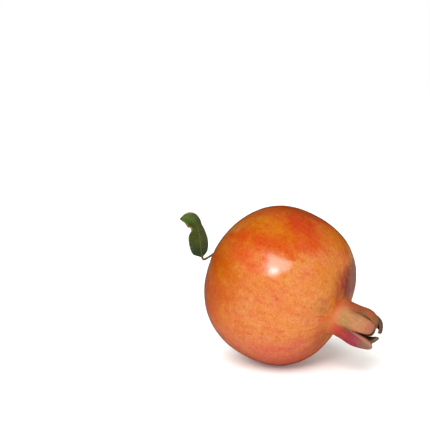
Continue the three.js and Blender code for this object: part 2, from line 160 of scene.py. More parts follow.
# %% Pieces and lumps
def put_in_scene(mesh, name, node):
    """Makes an object that stands for one of the part's solids."""
    piece = bpy.data.objects.new(name, mesh)
    bpy.context.scene.collection.objects.link(piece)
    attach(piece, "root")
    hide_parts(node)
    mesh.calc_loop_triangles()
    print(name, "has", len(mesh.loop_triangles), "triangles")
    return piece


def lumps(points, size, shift=0.0):
    """Smooth noise between about -1 and 1, with bumps of a size in millimetres."""
    flat = np.reshape(points, (-1, 3)) / size + shift
    values = [noise.noise(Vector(point)) for point in flat]
    return np.array(values).reshape(points.shape[:-1])


print("helpers ready")

# %% [markdown]
# ## The body of the fruit
#
# A pomegranate isn't a ball. It is a little flattened from stem to crown, its sides are faintly
# faceted by the chambers inside, and six soft ribs run back from the crown's lobes. A sculpted
# sphere could show that, but a superellipse with two cosine terms gives it exactly, and the plain
# solid uses the very same numbers.

# %% The body's outline
BODY_RADIUS = 42.0
BODY_HALF_LENGTH = 36.9
STEM_END_FULLNESS = 2.25
CROWN_END_FULLNESS = 2.45
RIB_HEIGHT = 0.25
FACET_HEIGHT = 0.45
FACET_TURN = 0.7
STEM_DIMPLE_DEPTH = 1.6
STEM_DIMPLE_WIDTH = 7.0


def body_point(off_axis, angle):
    """A point on the body, at an angle off the axis and an angle round it."""
    crownwards = smoothstep(np.cos(off_axis), 0.0, 0.5)
    fullness = lerp(STEM_END_FULLNESS, CROWN_END_FULLNESS, crownwards)
    along = np.abs(np.cos(off_axis) / BODY_HALF_LENGTH) ** fullness
    across = np.abs(np.sin(off_axis) / BODY_RADIUS) ** fullness
    swell = RIB_HEIGHT * np.cos(6 * angle) + FACET_HEIGHT * np.cos(3 * angle + FACET_TURN)
    reach = (along + across) ** (-1 / fullness) + np.sin(off_axis) ** 2 * swell
    radius = reach * np.sin(off_axis)
    dimple = STEM_DIMPLE_DEPTH * np.exp(-((radius / STEM_DIMPLE_WIDTH) ** 2))
    stem_end = off_axis > math.pi / 2
    return polar(radius, angle, reach * np.cos(off_axis) + np.where(stem_end, dimple, 0.0))


print("girth radius", body_point(math.pi / 2, 0.0)[0].round(2), "mm")

# %% [markdown]
# ## The crown
#
# The crown is the dried calyx of the flower: a short tube that splits into pointed lobes. On this
# fruit the lobes have dried and curled in over the mouth by different amounts, one is bent like
# a beak and one is splayed outwards. Each lobe is described by its width, by how low the notch
# after it cuts, by where it starts to bend, and by how far its tip ends from the axis and how
# high. A circular arc carries the wall from the bend to the tip, so the wall keeps its thickness
# however far the lobe bends.

# %% The crown's lobes
SHOULDER_ANGLE = 22 * DEGREE
SHOULDER_REACH = 4.3
NECK_RADIUS = 9.9
NECK_HEIGHT = 3.8
CUP_FLOOR = 3.6
CUP_WALL = 2.4
LOBE_TIP_WALL = 1.2
CUFF_HEIGHT = 11.0
FLANK_SINK = 0.35
LOBE_FILL = 0.95
LOBE_RISE = 0.9
CROWN_LEAN = 1.5
CROWN_HEIGHT = 22.0
CROWN_LEAN_ANGLE = 160 * DEGREE
CROWDING_RISE = 4.0
RIM_BEAD_HEIGHT = 0.22
RIM_BEAD_WIDTH = 1.1
COLUMNS_PER_LOBE = 40
FIRST_NOTCH = -4.0
# Name, end notch in degrees round the axis, notch height, bend height, tip radius, tip height,
# breadth and bulge. Lengths are in millimetres. A low breadth makes a lobe broad and round.
LOBES = [
    ("lowest", 46, 11.0, 12.0, 3.8, 23.4, 0.9, 0.7),
    ("far_low", 92, 11.0, 10.0, 7.4, 18.8, 0.75, 0.7),
    ("beak", 140, 12.0, 14.4, 0.8, 23.6, 1.05, 0.3),
    ("upper", 212, 16.0, 12.6, 0.4, 20.0, 0.7, 0.6),
    ("front", 274, 9.6, 11.4, 4.4, 20.4, 0.9, 1.1),
    ("splayed", 356, 10.5, 13.0, 8.1, 23.6, 1.1, 1.6),
]
print(len(LOBES), "lobes:", [name for name, *_ in LOBES])

# %% Columns round the crown
def bend_of(bend_height, tip_radius, tip_height):
    """The arc that carries a lobe's wall from the bend to the tip."""
    upwards = tip_height - bend_height
    turn = 2 * math.atan2(NECK_RADIUS - tip_radius, upwards)
    arc_radius = upwards / math.sin(turn)
    return bend_height, arc_radius, bend_height + arc_radius * turn


def crown_columns():
    """One row for each column of points round the crown."""
    rows = []
    notch = FIRST_NOTCH
    for index, (_, end_notch, notch_height, *bend, breadth, bulge) in enumerate(LOBES):
        before, after = LOBES[index - 1], LOBES[(index + 1) % len(LOBES)]
        half_width = (end_notch - notch) / 2 * DEGREE
        middle = (end_notch + notch) / 2 * DEGREE
        tip_length = bend_of(*bend)[2]
        notch = end_notch
        for step in range(COLUMNS_PER_LOBE):
            across = 2 * step / COLUMNS_PER_LOBE - 1
            swing = math.pi / 2 * (across + 1)
            rim_across = math.copysign(abs(math.cos(swing)) ** breadth, across)
            foot = lerp(before[2], notch_height, (across + 1) / 2)
            rim_length = lerp(foot, tip_length, math.sin(swing) ** LOBE_RISE)
            # Near a notch, the two lobes bend more alike.
            neighbour = np.array((before if across < 0 else after)[3:6])
            shared = lerp(np.array(bend), neighbour, 0.5 * smoothstep(abs(across), 0.8, 1.0))
            bend_height, arc_radius, _ = bend_of(*shared)
            rows.append((middle, half_width, across, rim_across, rim_length, tip_length,
                         bend_height, arc_radius, bulge, index))
    return np.array(rows)


(MIDDLE, HALF_WIDTH, ACROSS, RIM_ACROSS, RIM_LENGTH, TIP_LENGTH, BEND_HEIGHT, ARC_RADIUS, BULGE,
 LOBE_INDEX) = crown_columns().T
ANGLES = MIDDLE + HALF_WIDTH * ACROSS
print(len(ANGLES), "columns round the crown")

# %% [markdown]
# ## A point on the crown
#
# A bent lobe runs into its neighbours, as real lobes do when they dry. Rather than cutting them
# apart, each point is pressed back into its lobe's own sector with a soft limit. The crown as
# a whole also swings a little to one side.

# %% Crown points
def crown_polar(radius, angle, height):
    """Points round the crown's own leaning axis."""
    swing = CROWN_LEAN * (height / CROWN_HEIGHT) ** 2
    middle = polar(swing, CROWN_LEAN_ANGLE, np.full(np.shape(height), BODY_HALF_LENGTH))
    return polar(radius, angle, height) + middle


def crown_point(length, offset, share):
    """Points a length up each column and an offset outwards from the lobe's skin."""
    side = lerp(ACROSS, RIM_ACROSS, share) * HALF_WIDTH
    bent = np.maximum(0.0, length - BEND_HEIGHT) / ARC_RADIUS
    inwards = ARC_RADIUS * (1 - np.cos(bent))
    height = np.minimum(length, BEND_HEIGHT) + ARC_RADIUS * np.sin(bent)
    outwards = NECK_RADIUS * np.cos(side) - inwards + offset * np.cos(bent) * np.cos(side)
    sideways = (NECK_RADIUS + offset) * np.sin(side)
    room = np.maximum(outwards, 0.3) * np.tan(HALF_WIDTH) * LOBE_FILL
    pressed = sideways / (1 + np.abs(sideways / room) ** 6) ** (1 / 6)
    crowding = smoothstep(length, BEND_HEIGHT, BEND_HEIGHT + CROWDING_RISE)
    sideways = lerp(sideways, pressed, crowding)
    angle = MIDDLE + np.arctan2(sideways, outwards)
    return crown_polar(np.hypot(outwards, sideways), angle, height + offset * np.sin(bent))


def bulge_at(length):
    """How far a lobe's middle stands out from its flanks."""
    risen = smoothstep(length, NECK_HEIGHT, CUFF_HEIGHT + 3)
    return risen * BULGE * (1 - np.abs(ACROSS) ** 3 - FLANK_SINK)


def wall_at(length):
    """The wall's thickness, with a low bead along the rim."""
    thin = smoothstep(length, CUFF_HEIGHT - 3, TIP_LENGTH)
    bead = RIM_BEAD_HEIGHT * np.exp(-(((RIM_LENGTH - length) / RIM_BEAD_WIDTH) ** 2))
    return lerp(CUP_WALL, LOBE_TIP_WALL, thin) + bead


print("the longest lobe is", TIP_LENGTH.max().round(1), "mm from the body's end")

# %% [markdown]
# ## One skin for body, neck and crown
#
# The real rind is one piece, so the mesh is one closed skin. It starts at the stem end, runs over
# the body, sweeps up the neck, climbs each lobe, turns over the rim and comes back down inside
# the cup. Dried lobes are never smooth, so fine lengthwise wrinkles are pressed into them, and
# the rim is a little ragged.

# %% Rings of the rind
BODY_RINGS = 124
SHOULDER_RINGS = 16
LOBE_RINGS = 46
RIM_RINGS = 5
CUP_RINGS = 36
CUP_FLOOR_REACHES = (0.85, 0.6, 0.4, 0.2)
RAGGEDNESS = 0.4
RAGGED_STEP = 1.6
FINE_WRINKLE_SIZE = 1.15
FINE_WRINKLE_DEPTH = 0.13
BROAD_WRINKLE_SIZE = 3.1
BROAD_WRINKLE_DEPTH = 0.22
RIM_BAND = 0.8
RIM_ROUNDNESS = 0.42
OUTSIDE_SEED = 1.0
INSIDE_SEED = 12.0
columns = len(ANGLES)
around_lobe = np.stack([np.cos(ANGLES), np.sin(ANGLES)], axis=-1)

# Small uneven steps along the rim. They fade out in the notches.
ragged = lumps(np.column_stack([9 * around_lobe, np.zeros(columns)]), RAGGED_STEP, 4.0)
ragged_rim = RIM_LENGTH + RAGGEDNESS * ragged * np.cos(math.pi / 2 * ACROSS)


def wrinkle(length, seed):
    """Lengthwise wrinkles of a dried lobe, in millimetres."""
    grown = smoothstep(length, NECK_HEIGHT - 1, CUFF_HEIGHT + 2)
    place = np.column_stack([NECK_RADIUS * around_lobe, np.broadcast_to(length, columns) / 6])
    fine = FINE_WRINKLE_DEPTH * lumps(place, FINE_WRINKLE_SIZE, seed)
    broad = BROAD_WRINKLE_DEPTH * lumps(place, BROAD_WRINKLE_SIZE, seed + 7)
    return grown * (fine + broad)


def near_rim(length):
    """How near a place is to the rim, from 0 to 1."""
    return np.exp(-(((ragged_rim - length) / RIM_BAND) ** 2))


rings = []
marks = {"neck_up": [], "lobe_up": [], "cup_side": [], "rim_edge": []}


def keep_ring(points, neck_up=0.0, lobe_up=0.0, cup_side=0.0, rim_edge=0.0):
    """Keeps a ring and what its material needs to know about it."""
    rings.append(np.broadcast_to(points, (columns, 3)))
    values = {"neck_up": neck_up, "lobe_up": lobe_up, "cup_side": cup_side, "rim_edge": rim_edge}
    for name, value in values.items():
        marks[name].append(np.broadcast_to(value, columns))


print("the rim is ragged by up to", np.abs(ragged_rim - RIM_LENGTH).max().round(2), "mm")

# %% Rings of the body and the neck
for step in range(1, BODY_RINGS + 1):
    keep_ring(body_point(lerp(math.pi, SHOULDER_ANGLE, step / BODY_RINGS), ANGLES))

edge = body_point(SHOULDER_ANGLE, ANGLES)
run = edge - body_point(SHOULDER_ANGLE + DEGREE, ANGLES)
run *= SHOULDER_REACH / np.linalg.norm(run, axis=1, keepdims=True)
neck_offset = bulge_at(NECK_HEIGHT) + wrinkle(NECK_HEIGHT, OUTSIDE_SEED)
neck = crown_point(NECK_HEIGHT, neck_offset, 0.0)
foot = neck.copy()
foot[:, 2] = BODY_HALF_LENGTH
for step in range(1, SHOULDER_RINGS + 1):
    t = step / SHOULDER_RINGS
    sweep = (
        (1 - t) ** 3 * edge
        + 3 * t * (1 - t) ** 2 * (edge + run)
        + 3 * t ** 2 * (1 - t) * foot
        + t ** 3 * neck
    )
    keep_ring(sweep, neck_up=t)
print(len(rings), "rings from the stem end to the neck")

# %% Rings of the lobes, the rim and the cup
for step in range(1, LOBE_RINGS + 1):
    share = step / LOBE_RINGS
    length = lerp(NECK_HEIGHT, ragged_rim, share)
    offset = bulge_at(length) + wrinkle(length, OUTSIDE_SEED)
    points = crown_point(length, offset, share)
    keep_ring(points, 1.0, length / TIP_LENGTH, rim_edge=near_rim(length))

wall = wall_at(ragged_rim)
for step in range(1, RIM_RINGS + 1):
    turned = step / (RIM_RINGS + 1)
    turn = math.pi * turned
    outer = bulge_at(ragged_rim) + wrinkle(ragged_rim, OUTSIDE_SEED) * (1 + math.cos(turn)) / 2
    offset = outer - wall * (1 - math.cos(turn)) / 2
    length = ragged_rim + RIM_ROUNDNESS * wall * math.sin(turn)
    keep_ring(crown_point(length, offset, 1.0), 1.0, length / TIP_LENGTH, turned, 1.0)

for step in range(CUP_RINGS + 1):
    share = 1 - step / CUP_RINGS
    length = lerp(CUP_FLOOR + 0.8, ragged_rim, share)
    offset = -wall_at(length) - 0.6 * wrinkle(length, INSIDE_SEED)
    points = crown_point(length, offset, share)
    keep_ring(points, 1.0, length / TIP_LENGTH, 1.0, near_rim(length))

for reach in CUP_FLOOR_REACHES:
    radius = reach * (NECK_RADIUS - CUP_WALL)
    keep_ring(crown_polar(radius, ANGLES, CUP_FLOOR + 0.1), 1.0, 0.15, 1.0)

rind_rings = np.stack(rings)
print(rind_rings.shape[0], "rings of", columns, "points")

# %% [markdown]
# ## Relief of the rind
#
# Fine pores belong in the material, but the dents that catch a highlight are real shape. They
# are pushed in along each point's normal. Round the stem the rind is drawn into short pleats.
# Last, the fruit is laid down, and the lowest skin is pressed flat where it rests.

# %% Displace the rind and lay it down
DENT_SIZE = 15.0
DENT_DEPTH = 0.20
RIPPLE_SIZE = 4.5
RIPPLE_DEPTH = 0.06
PLEATS = 11
PLEAT_DEPTH = 0.16
PLEAT_REACH = 5.0
PLEAT_WIDTH = 3.2


def grid_normals(grid):
    """Outward normals of a grid of rings."""
    along = np.gradient(grid, axis=0)
    around = np.roll(grid, -1, axis=1) - np.roll(grid, 1, axis=1)
    normals = np.cross(around, along)
    lengths = np.linalg.norm(normals, axis=-1, keepdims=True)
    return normals / np.maximum(lengths, 1e-9)


normals = grid_normals(rind_rings)
on_body = 1 - np.stack(marks["neck_up"])
dents = DENT_DEPTH * lumps(rind_rings, DENT_SIZE)
ripples = RIPPLE_DEPTH * lumps(rind_rings, RIPPLE_SIZE, 3.0)
relief = on_body * (dents + ripples)
from_axis = np.hypot(rind_rings[..., 0], rind_rings[..., 1])
stem_side = smoothstep(-rind_rings[..., 2], 20, 30)
pleats = np.cos(PLEATS * ANGLES + 3 * lumps(rind_rings, 9.0, 5.0))
pleats *= np.exp(-(((from_axis - PLEAT_REACH) / PLEAT_WIDTH) ** 2))
relief += PLEAT_DEPTH * stem_side * pleats
rind_points = rind_rings + relief[..., None] * normals

rind_on_table = laid_down(rind_points)
rind_on_table[..., 2] = np.maximum(rind_on_table[..., 2], 0.0)
stem_pole = laid_down(np.array([0.0, 0.0, STEM_DIMPLE_DEPTH - BODY_HALF_LENGTH]))
cup_pole = laid_down(crown_polar(0.0, 0.0, CUP_FLOOR))
print("relief from", relief.min().round(2), "to", relief.max().round(2), "mm")

# %% [markdown]
# ## Tints of the lobes
#
# Each lobe dried in its own way: golden, olive, purplish or magenta. Four tints for each lobe,
# at its root, middle, tip and rim, are written in as colour attributes. They are blended a little
# across the notches so that no lobe ends in a hard line.

# %% Lobe tints
TENT_BRIGHTNESS = 1.19


def tint(red, green, blue):
    """The surface colour that looks like this display colour, 0 to 255, in the tent's light."""
    shares = [value / 255 for value in (red, green, blue)]
    linear = [
        value / 12.92 if value <= 0.04045 else ((value + 0.055) / 1.055) ** 2.4
        for value in shares
    ]
    return tuple(value / TENT_BRIGHTNESS for value in linear) + (1.0,)


LOBE_PLACES = ("lobe_root", "lobe_middle", "lobe_tip", "lobe_rim")
LOBE_TINTS = {
    "lowest": ((206, 96, 66), (150, 104, 62), (112, 94, 56), (120, 102, 66)),
    "far_low": ((196, 112, 62), (140, 104, 58), (128, 112, 66), (142, 114, 72)),
    "beak": ((176, 84, 44), (122, 68, 46), (60, 26, 32), (98, 58, 44)),
    "upper": ((204, 96, 44), (190, 102, 42), (172, 110, 58), (150, 104, 58)),
    "front": ((206, 146, 80), (214, 138, 86), (198, 116, 80), (176, 104, 70)),
    "splayed": ((214, 56, 40), (184, 42, 70), (166, 112, 84), (196, 136, 110)),
}


def lobe_tints(place):
    """The tint of one place on the lobes, for each column, blended across the notches."""
    own = np.array([tint(*LOBE_TINTS[name][place]) for name, *_ in LOBES])
    tints = own[LOBE_INDEX.astype(int)]
    width = COLUMNS_PER_LOBE // 4
    weights = np.hanning(width + 2)[1:-1]
    weights /= weights.sum()
    shifts = range(-(width // 2), width - width // 2)
    return sum(w * np.roll(tints, shift, axis=0) for w, shift in zip(weights, shifts))


print("lobe tints for", list(LOBE_TINTS))

# %% The skin of the rind
rind = Skin()
rind.add(
    stem_pole,
    rind_on_table,
    cup_pole,
    own_place=rind_points,
    notch_side=np.abs(ACROSS),
    **{name: np.stack(values) for name, values in marks.items()},
    **{name: lobe_tints(place)[None] for place, name in enumerate(LOBE_PLACES)},
)
rind_piece = put_in_scene(rind.mesh("rind"), "rind", "fruit")

# %% [markdown]
# ## Dried stamens
#
# The cup is filled with the flower's stamens, which dried to a brown tangle: thin filaments that
# lean in over a woolly mat, each with a two-lobed anther. Hair particles could fill the cup, but
# they don't survive an export, so every filament is a thin tapering tube. The same seeded draws
# as in the plain solid put them in the same places, and thinner ones fill in between.

# %% Helpers for rods
def seeded_draws(seed):
    """The same numbers between 0 and 1 on every run, as in the part's source."""
    state = seed

    def times(first, second):
        return (first * second) & 0xFFFFFFFF

    def draw():
        nonlocal state
        state = (state + 0x6D2B79F5) & 0xFFFFFFFF
        mixed = times(state ^ (state >> 15), 1 | state)
        mixed = ((mixed + times(mixed ^ (mixed >> 7), 61 | mixed)) & 0xFFFFFFFF) ^ mixed
        return (mixed ^ (mixed >> 14)) / 4294967296

    return draw


def catmull(points, shares):
    """A smooth curve through points, with the knots spaced by the root of each step."""
    points = np.asarray(points, dtype=float)
    whole = np.vstack([2 * points[0] - points[1], points, 2 * points[-1] - points[-2]])
    place = np.asarray(shares) * (len(points) - 1)
    index = np.minimum(place.astype(int), len(points) - 2)
    t = (place - index)[:, None]
    p0, p1, p2, p3 = (whole[index + shift] for shift in range(4))
    d0, d1, d2 = (
        np.sqrt(np.linalg.norm(b - a, axis=1))[:, None] for a, b in ((p0, p1), (p1, p2), (p2, p3))
    )
    m1 = ((p1 - p0) / d0 - (p2 - p0) / (d0 + d1) + (p2 - p1) / d1) * d1
    m2 = ((p2 - p1) / d1 - (p3 - p1) / (d1 + d2) + (p3 - p2) / d2) * d1
    cubic = 2 * p1 - 2 * p2 + m1 + m2
    square = 3 * p2 - 3 * p1 - 2 * m1 - m2
    return p1 + m1 * t + square * t ** 2 + cubic * t ** 3


def even_curve(points, steps):
    """Points evenly spaced along such a curve, and the curve's direction at each."""
    fine = catmull(points, np.linspace(0, 1, 400))
    run = np.concatenate([[0], np.cumsum(np.linalg.norm(np.diff(fine, axis=0), axis=1))])
    wanted = np.linspace(0, run[-1], steps + 1)
    spaced = np.column_stack([np.interp(wanted, run, fine[:, axis]) for axis in range(3)])
    ahead = np.gradient(spaced, axis=0)
    return spaced, ahead / np.linalg.norm(ahead, axis=1, keepdims=True)


def rod_rings(points, sides, steps, radius_at):
    """Rings of a tapering rod, in the order that closes its skin outwards."""
    centres, ahead = even_curve(points, steps)
    aside = np.cross(ahead[0], [0.3, 0.9, 0.2])
    rings = []
    for centre, direction, share in zip(centres, ahead, np.linspace(0, 1, steps + 1)):
        aside = aside - direction * np.dot(aside, direction)
        aside /= np.linalg.norm(aside)
        across = np.cross(direction, aside)
        angles = 2 * math.pi * np.arange(sides) / sides
        circle = np.cos(angles)[:, None] * aside + np.sin(angles)[:, None] * across
        rings.append(centre + radius_at(share) * circle)
    start = centres[0] - 0.4 * radius_at(0) * ahead[0]
    end = centres[-1] + 0.4 * radius_at(1) * ahead[-1]
    return start, np.array(rings), end


print("the first draw is", round(seeded_draws(14)(), 3))

# %% Sizes of the stamens
STAMEN_COUNT = 42
STAMEN_RADIUS = 0.42
STAMEN_MAT_RADIUS = 6.6
STAMEN_MAT_HEIGHT = 2.6
STAMEN_TOP = 12.4
STAMEN_SPREAD = 5.2
STAMEN_BOW = 0.18
STAMEN_CLOSING = 0.12
STAMEN_LEAN = 1.1
MOUTH_RADIUS = 4.6
STAMEN_CLEARANCE = 0.9
STAMEN_SEED = 14
FILAMENT_SHARE = 0.62
FILAMENT_TAPER = 0.25
PINCH_DEPTH = 0.12
WOOL_DEPTH = 0.3
ANTHER_SIZE = 0.8
ANTHER_COLUMNS = 14
ANTHER_RINGS = 7
ANTHER_HALF_LENGTH = 1.15
FILLING_FILAMENTS = 60
FILLING_RADIUS = 0.2
FILLING_LEAN = 2.2
FILLING_SEED = 31
STYLE_RADIUS = 0.62
STYLE_FLARE = 0.7
MAT_COLUMNS = 72
# How far out, as a share of the mat's radius, and how high each ring of the mat lies.
MAT_PROFILE = [(0.6, 0.1), (0.82, 0.3), (0.9, 0.6), (0.94, 1.1), (0.94, 1.7), (0.86, 2.2),
               (0.75, 2.4), (0.6, 2.5), (0.4, 2.6), (0.2, 2.6)]
GAP = 0.35

mat_floor = CUP_FLOOR + GAP
mat_top = mat_floor + STAMEN_MAT_HEIGHT
stamens = Skin()
print("the mat lies", round(mat_floor, 2), "to", round(mat_top, 2), "mm up the cup")

# %% Filaments
def stamen_room(height):
    """The widest place a stamen may reach at a height."""
    return lerp(STAMEN_MAT_RADIUS, MOUTH_RADIUS, smoothstep(height, CUFF_HEIGHT - 2, STAMEN_TOP))


def stamen_path(index, count, tip_height, lean):
    """A filament's bowed way up, as points in the fruit's own space."""
    angle = index * math.pi * (3 - math.sqrt(5))
    spread = math.sqrt((index + 0.5) / count)
    path = []
    for share in (0, 0.4, 0.75, 1):
        height = lerp(mat_top - 0.8, tip_height, share)
        bow = 1 + STAMEN_BOW * math.sin(math.pi * share) - STAMEN_CLOSING * share
        radius = min(spread * STAMEN_SPREAD * bow, stamen_room(height) - STAMEN_CLEARANCE)
        path.append(crown_polar(radius, angle + lean * share, height))
    return np.array(path)


def add_filament(path, radius, sides=6, steps=9):
    """One filament, drawn in at places where it dried."""
    pinch = 1.7 * path[0, 0]

    def radius_at(share):
        pinched = 1 + PINCH_DEPTH * math.sin(13 * share + pinch)
        return radius * (1 - FILAMENT_TAPER * share) * pinched

    stamens.add_on_table(*rod_rings(path, sides, steps, radius_at), anther=0.0)


print("room for the stamens at the mouth:", stamen_room(STAMEN_TOP), "mm")

# %% Anthers
def add_anther(middle, tilt_x, tilt_y):
    """A pod of two lobes with a groove between them."""
    tilt = ANTHER_SIZE * np.array([
        [math.cos(tilt_y), 0, math.sin(tilt_y)],
        [0, math.cos(tilt_x), -math.sin(tilt_x)],
        [-math.sin(tilt_y), math.sin(tilt_x), math.cos(tilt_x) * math.cos(tilt_y)],
    ]).T
    angles = 2 * math.pi * np.arange(ANTHER_COLUMNS) / ANTHER_COLUMNS
    turn = np.linspace(math.pi, 0, ANTHER_RINGS + 2)[1:-1, None]
    pod = np.sin(turn) * (0.78 + 0.24 * np.cos(2 * angles))
    across, through = 0.86 * pod * np.cos(angles), 0.72 * pod * np.sin(angles)
    upwards = ANTHER_HALF_LENGTH * np.cos(turn) + 0 * angles
    end = np.array([0, 0, ANTHER_HALF_LENGTH])
    grid = np.stack([across, through, upwards], axis=-1)
    start, grid, end = (middle + part @ tilt for part in (-end, grid, end))
    stamens.add_on_table(start, grid, end, anther=1.0)


print("an anther is", round(2 * ANTHER_SIZE * ANTHER_HALF_LENGTH, 2), "mm long")

# %% The woolly mat
mat_angles = 2 * math.pi * np.arange(MAT_COLUMNS) / MAT_COLUMNS
mat_radius = STAMEN_MAT_RADIUS * (1 + 0.02 * np.cos(5 * mat_angles))
mat_rings = np.array([
    crown_polar(reach * mat_radius, mat_angles, mat_floor + rise) for reach, rise in MAT_PROFILE
])
on_top = smoothstep(mat_rings[..., 2] - BODY_HALF_LENGTH, 5.5, 6.4)
mat_rings[..., 2] += WOOL_DEPTH * lumps(mat_rings, 0.8) * on_top
mat_poles = [crown_polar(0.0, 0.0, height) for height in (mat_floor, mat_top)]
stamens.add_on_table(mat_poles[0], mat_rings, mat_poles[1], anther=0.0)
print("the mat has", len(mat_rings), "rings")

# %% Stamens in the cup
draw = seeded_draws(STAMEN_SEED)
for index in range(STAMEN_COUNT):
    tip_height = lerp(STAMEN_TOP - 4, STAMEN_TOP - 0.6, draw())
    path = stamen_path(index, STAMEN_COUNT, tip_height, (draw() - 0.5) * STAMEN_LEAN)
    add_filament(path, FILAMENT_SHARE * STAMEN_RADIUS)
    add_anther(path[-1], draw() - 0.5, draw() - 0.5)

draw = seeded_draws(FILLING_SEED)
for index in range(FILLING_FILAMENTS):
    tip_height = lerp(mat_top + 1.5, STAMEN_TOP - 2.5, draw())
    path = stamen_path(index + 0.5, FILLING_FILAMENTS, tip_height, (draw() - 0.5) * FILLING_LEAN)
    add_filament(path, FILLING_RADIUS, sides=5, steps=7)

style_path = [
    crown_polar(0.0, 0.0, mat_top - 0.8),
    crown_polar(0.6, -0.5, STAMEN_TOP - 4),
    crown_polar(0.9, 0.2, STAMEN_TOP - 0.5),
]
style = rod_rings(
    style_path, 12, 14,
    lambda share: STYLE_RADIUS * (1 + STYLE_FLARE * float(smoothstep(share, 0.8, 1.0))),
)
stamens.add_on_table(*style, anther=0.35)
stamens_piece = put_in_scene(stamens.mesh("stamens"), "dried_stamens", "stamens")

# %% [markdown]
# ## The stub of the stem
#
# The fruit was snipped from its twig, which leaves a short woody stub with a slanting cut, and
# two dry twiglets beside it. A plain turned profile would look like a peg, so the stub gets
# lengthwise fibres, a collar where it meets the fruit and small pits in the cut face.

# %% The stub
STEM_RADIUS = 2.2
STEM_LENGTH = 5.2
STEM_RIBS = 0.05
STEM_CUT_SLOPE = 0.12
STEM_COLUMNS = 72
STEM_RINGS = 56
FIBRE_DEPTH = 0.09
PIT_DEPTH = 0.18
TWIG_RADIUS = 0.65
TWIG_TIP_RADIUS = 0.3
# Radius and distance from the fruit, from the collar over the cut edge to the cut face.
STEM_PROFILE = [(1.7, 0.1), (3.1, 0.55), (3.0, 1.1), (2.31, 1.9), (2.16, 3.2), (2.29, 4.4),
                (2.2, 5.0), (1.87, 5.2), (0.77, 5.05)]
# The angle, reach and rise of each dry twig.
TWIGS = ((160, 4.6, 3.4), (205, 5.0, 1.2))

stem_base = STEM_DIMPLE_DEPTH - BODY_HALF_LENGTH - GAP
angles = -2 * math.pi * np.arange(STEM_COLUMNS) / STEM_COLUMNS
ribs = 1 + STEM_RIBS * (np.cos(3 * angles + 0.4) + 0.6 * np.cos(5 * angles))
stem_rings, cut_marks = [], []
for radius, rise in catmull(STEM_PROFILE, np.linspace(0, 1, STEM_RINGS)):
    ribbed = radius * ribs
    slope = STEM_CUT_SLOPE * ribbed * np.cos(angles - 1) * smoothstep(rise, 2.0, 3.4)
    stem_rings.append(polar(ribbed, angles, stem_base - rise - slope))
    on_cut = smoothstep(-radius, -2.1, -1.9) if rise > 4.9 else 0.0
    cut_marks.append(np.full(STEM_COLUMNS, on_cut))
stem_rings, cut_marks = np.array(stem_rings), np.array(cut_marks)
from_axis = np.hypot(stem_rings[..., 0], stem_rings[..., 1])
fibre = FIBRE_DEPTH * lumps(stem_rings * np.array([1, 1, 0.15]), 0.55)
fibre += 0.07 * lumps(stem_rings, 1.3, 2.0)
stem_rings[..., :2] *= (1 + fibre / np.maximum(from_axis, 0.6))[..., None]
stem_rings[..., 2] += cut_marks * (PIT_DEPTH * lumps(stem_rings, 0.6, 6.0) + 0.12)
print("the stub is", round(np.ptp(stem_rings[..., 2]), 1), "mm long")

# %% The skin of the stem and its twigs
stem = Skin()
stem_poles = [np.array([0, 0, stem_base]), np.array([0, 0, stem_base - STEM_LENGTH + 0.35])]
stem.add_on_table(
    stem_poles[0], stem_rings, stem_poles[1], cut_end=cut_marks, twig=0.0, own_place=stem_rings
)


def twig_radius(share):
    return lerp(TWIG_RADIUS, TWIG_TIP_RADIUS, share) * (1 + 0.1 * math.sin(19 * share))


for angle, reach, out in TWIGS:
    angle *= DEGREE
    path = [
        polar(0.5 * STEM_RADIUS, angle, stem_base - 1.9),
        polar(STEM_RADIUS + 1.1, angle, stem_base - 2.1 - 0.3 * out),
        polar(STEM_RADIUS + reach - 2, angle + 0.1, stem_base - 2.2 - out),
    ]
    start, grid, end = rod_rings(path, 14, 26, twig_radius)
    stem.add_on_table(start, grid, end, cut_end=0.0, twig=1.0, own_place=grid)
stem_piece = put_in_scene(stem.mesh("stem"), "stem_stub", "stem")

# %% [markdown]
# ## The leaf
#
# A pomegranate leaf is narrow, glossy and a little folded along its midrib, with a thin stalk.
# It could be a flat plane with a picture on it, but seen from the side it would vanish. Here it
# is a thin closed blade along a bent midrib, with a ridge under the midrib, side veins pressed
# into the upper face and waved edges. The two faces wave together, so the blade stays thin.

# %% The leaf's sizes
# Half widths on each side of the midrib, evenly spaced from the stalk to the tip.
LEFT_HALF_WIDTHS = [0, 4.5, 5.9, 6.3, 6.2, 5.3, 3.8, 3.9, 4.9, 4.7, 0.5]
RIGHT_HALF_WIDTHS = [0, 3, 4, 4.4, 4.3, 3.6, 3, 3.7, 4.1, 2.9, 0.4]
LEAF_THICKNESS = 0.8
PETIOLE_RADIUS = 0.6
PETIOLE_SHARE = 0.23
LEAF_STEPS = 200
LEAF_POINTS_ACROSS = 41
LEAF_WAVE = 0.55
LEAF_WAVES = 2.6
LEAF_WAVE_SHIFT = 1.9
LEAF_FOLD = 0.16
MIDRIB_HEIGHT = 0.35
MIDRIB_SPREAD = 0.2
SIDE_VEINS = 15
VEIN_SLANT = 0.16
VEIN_WIDTH = 0.13
VEIN_DEPTH = 0.07
LOWER_VEIN_HEIGHT = 0.05
GROOVE_DEPTH = 0.16
GROOVE_WIDTH = 0.07
EDGE_THINNING = 0.75
LEAF_GRAIN_DEPTH = 0.05
LEAF_MIDRIB = [
    (-37.7, -2.9, 14.2),
    (-41.7, -5.5, 11.1),
    (-43.7, -6.2, 10.3),
    (-44.7, -6.5, 13.5),
    (-45.2, -6.6, 18.2),
    (-45.7, -6.8, 22.6),
    (-46.3, -7.3, 26.8),
    (-47.5, -8.9, 30.4),
    (-49.3, -11.0, 32.6),
    (-51.2, -13.0, 33.3),
    (-53.2, -14.9, 33.1),
]
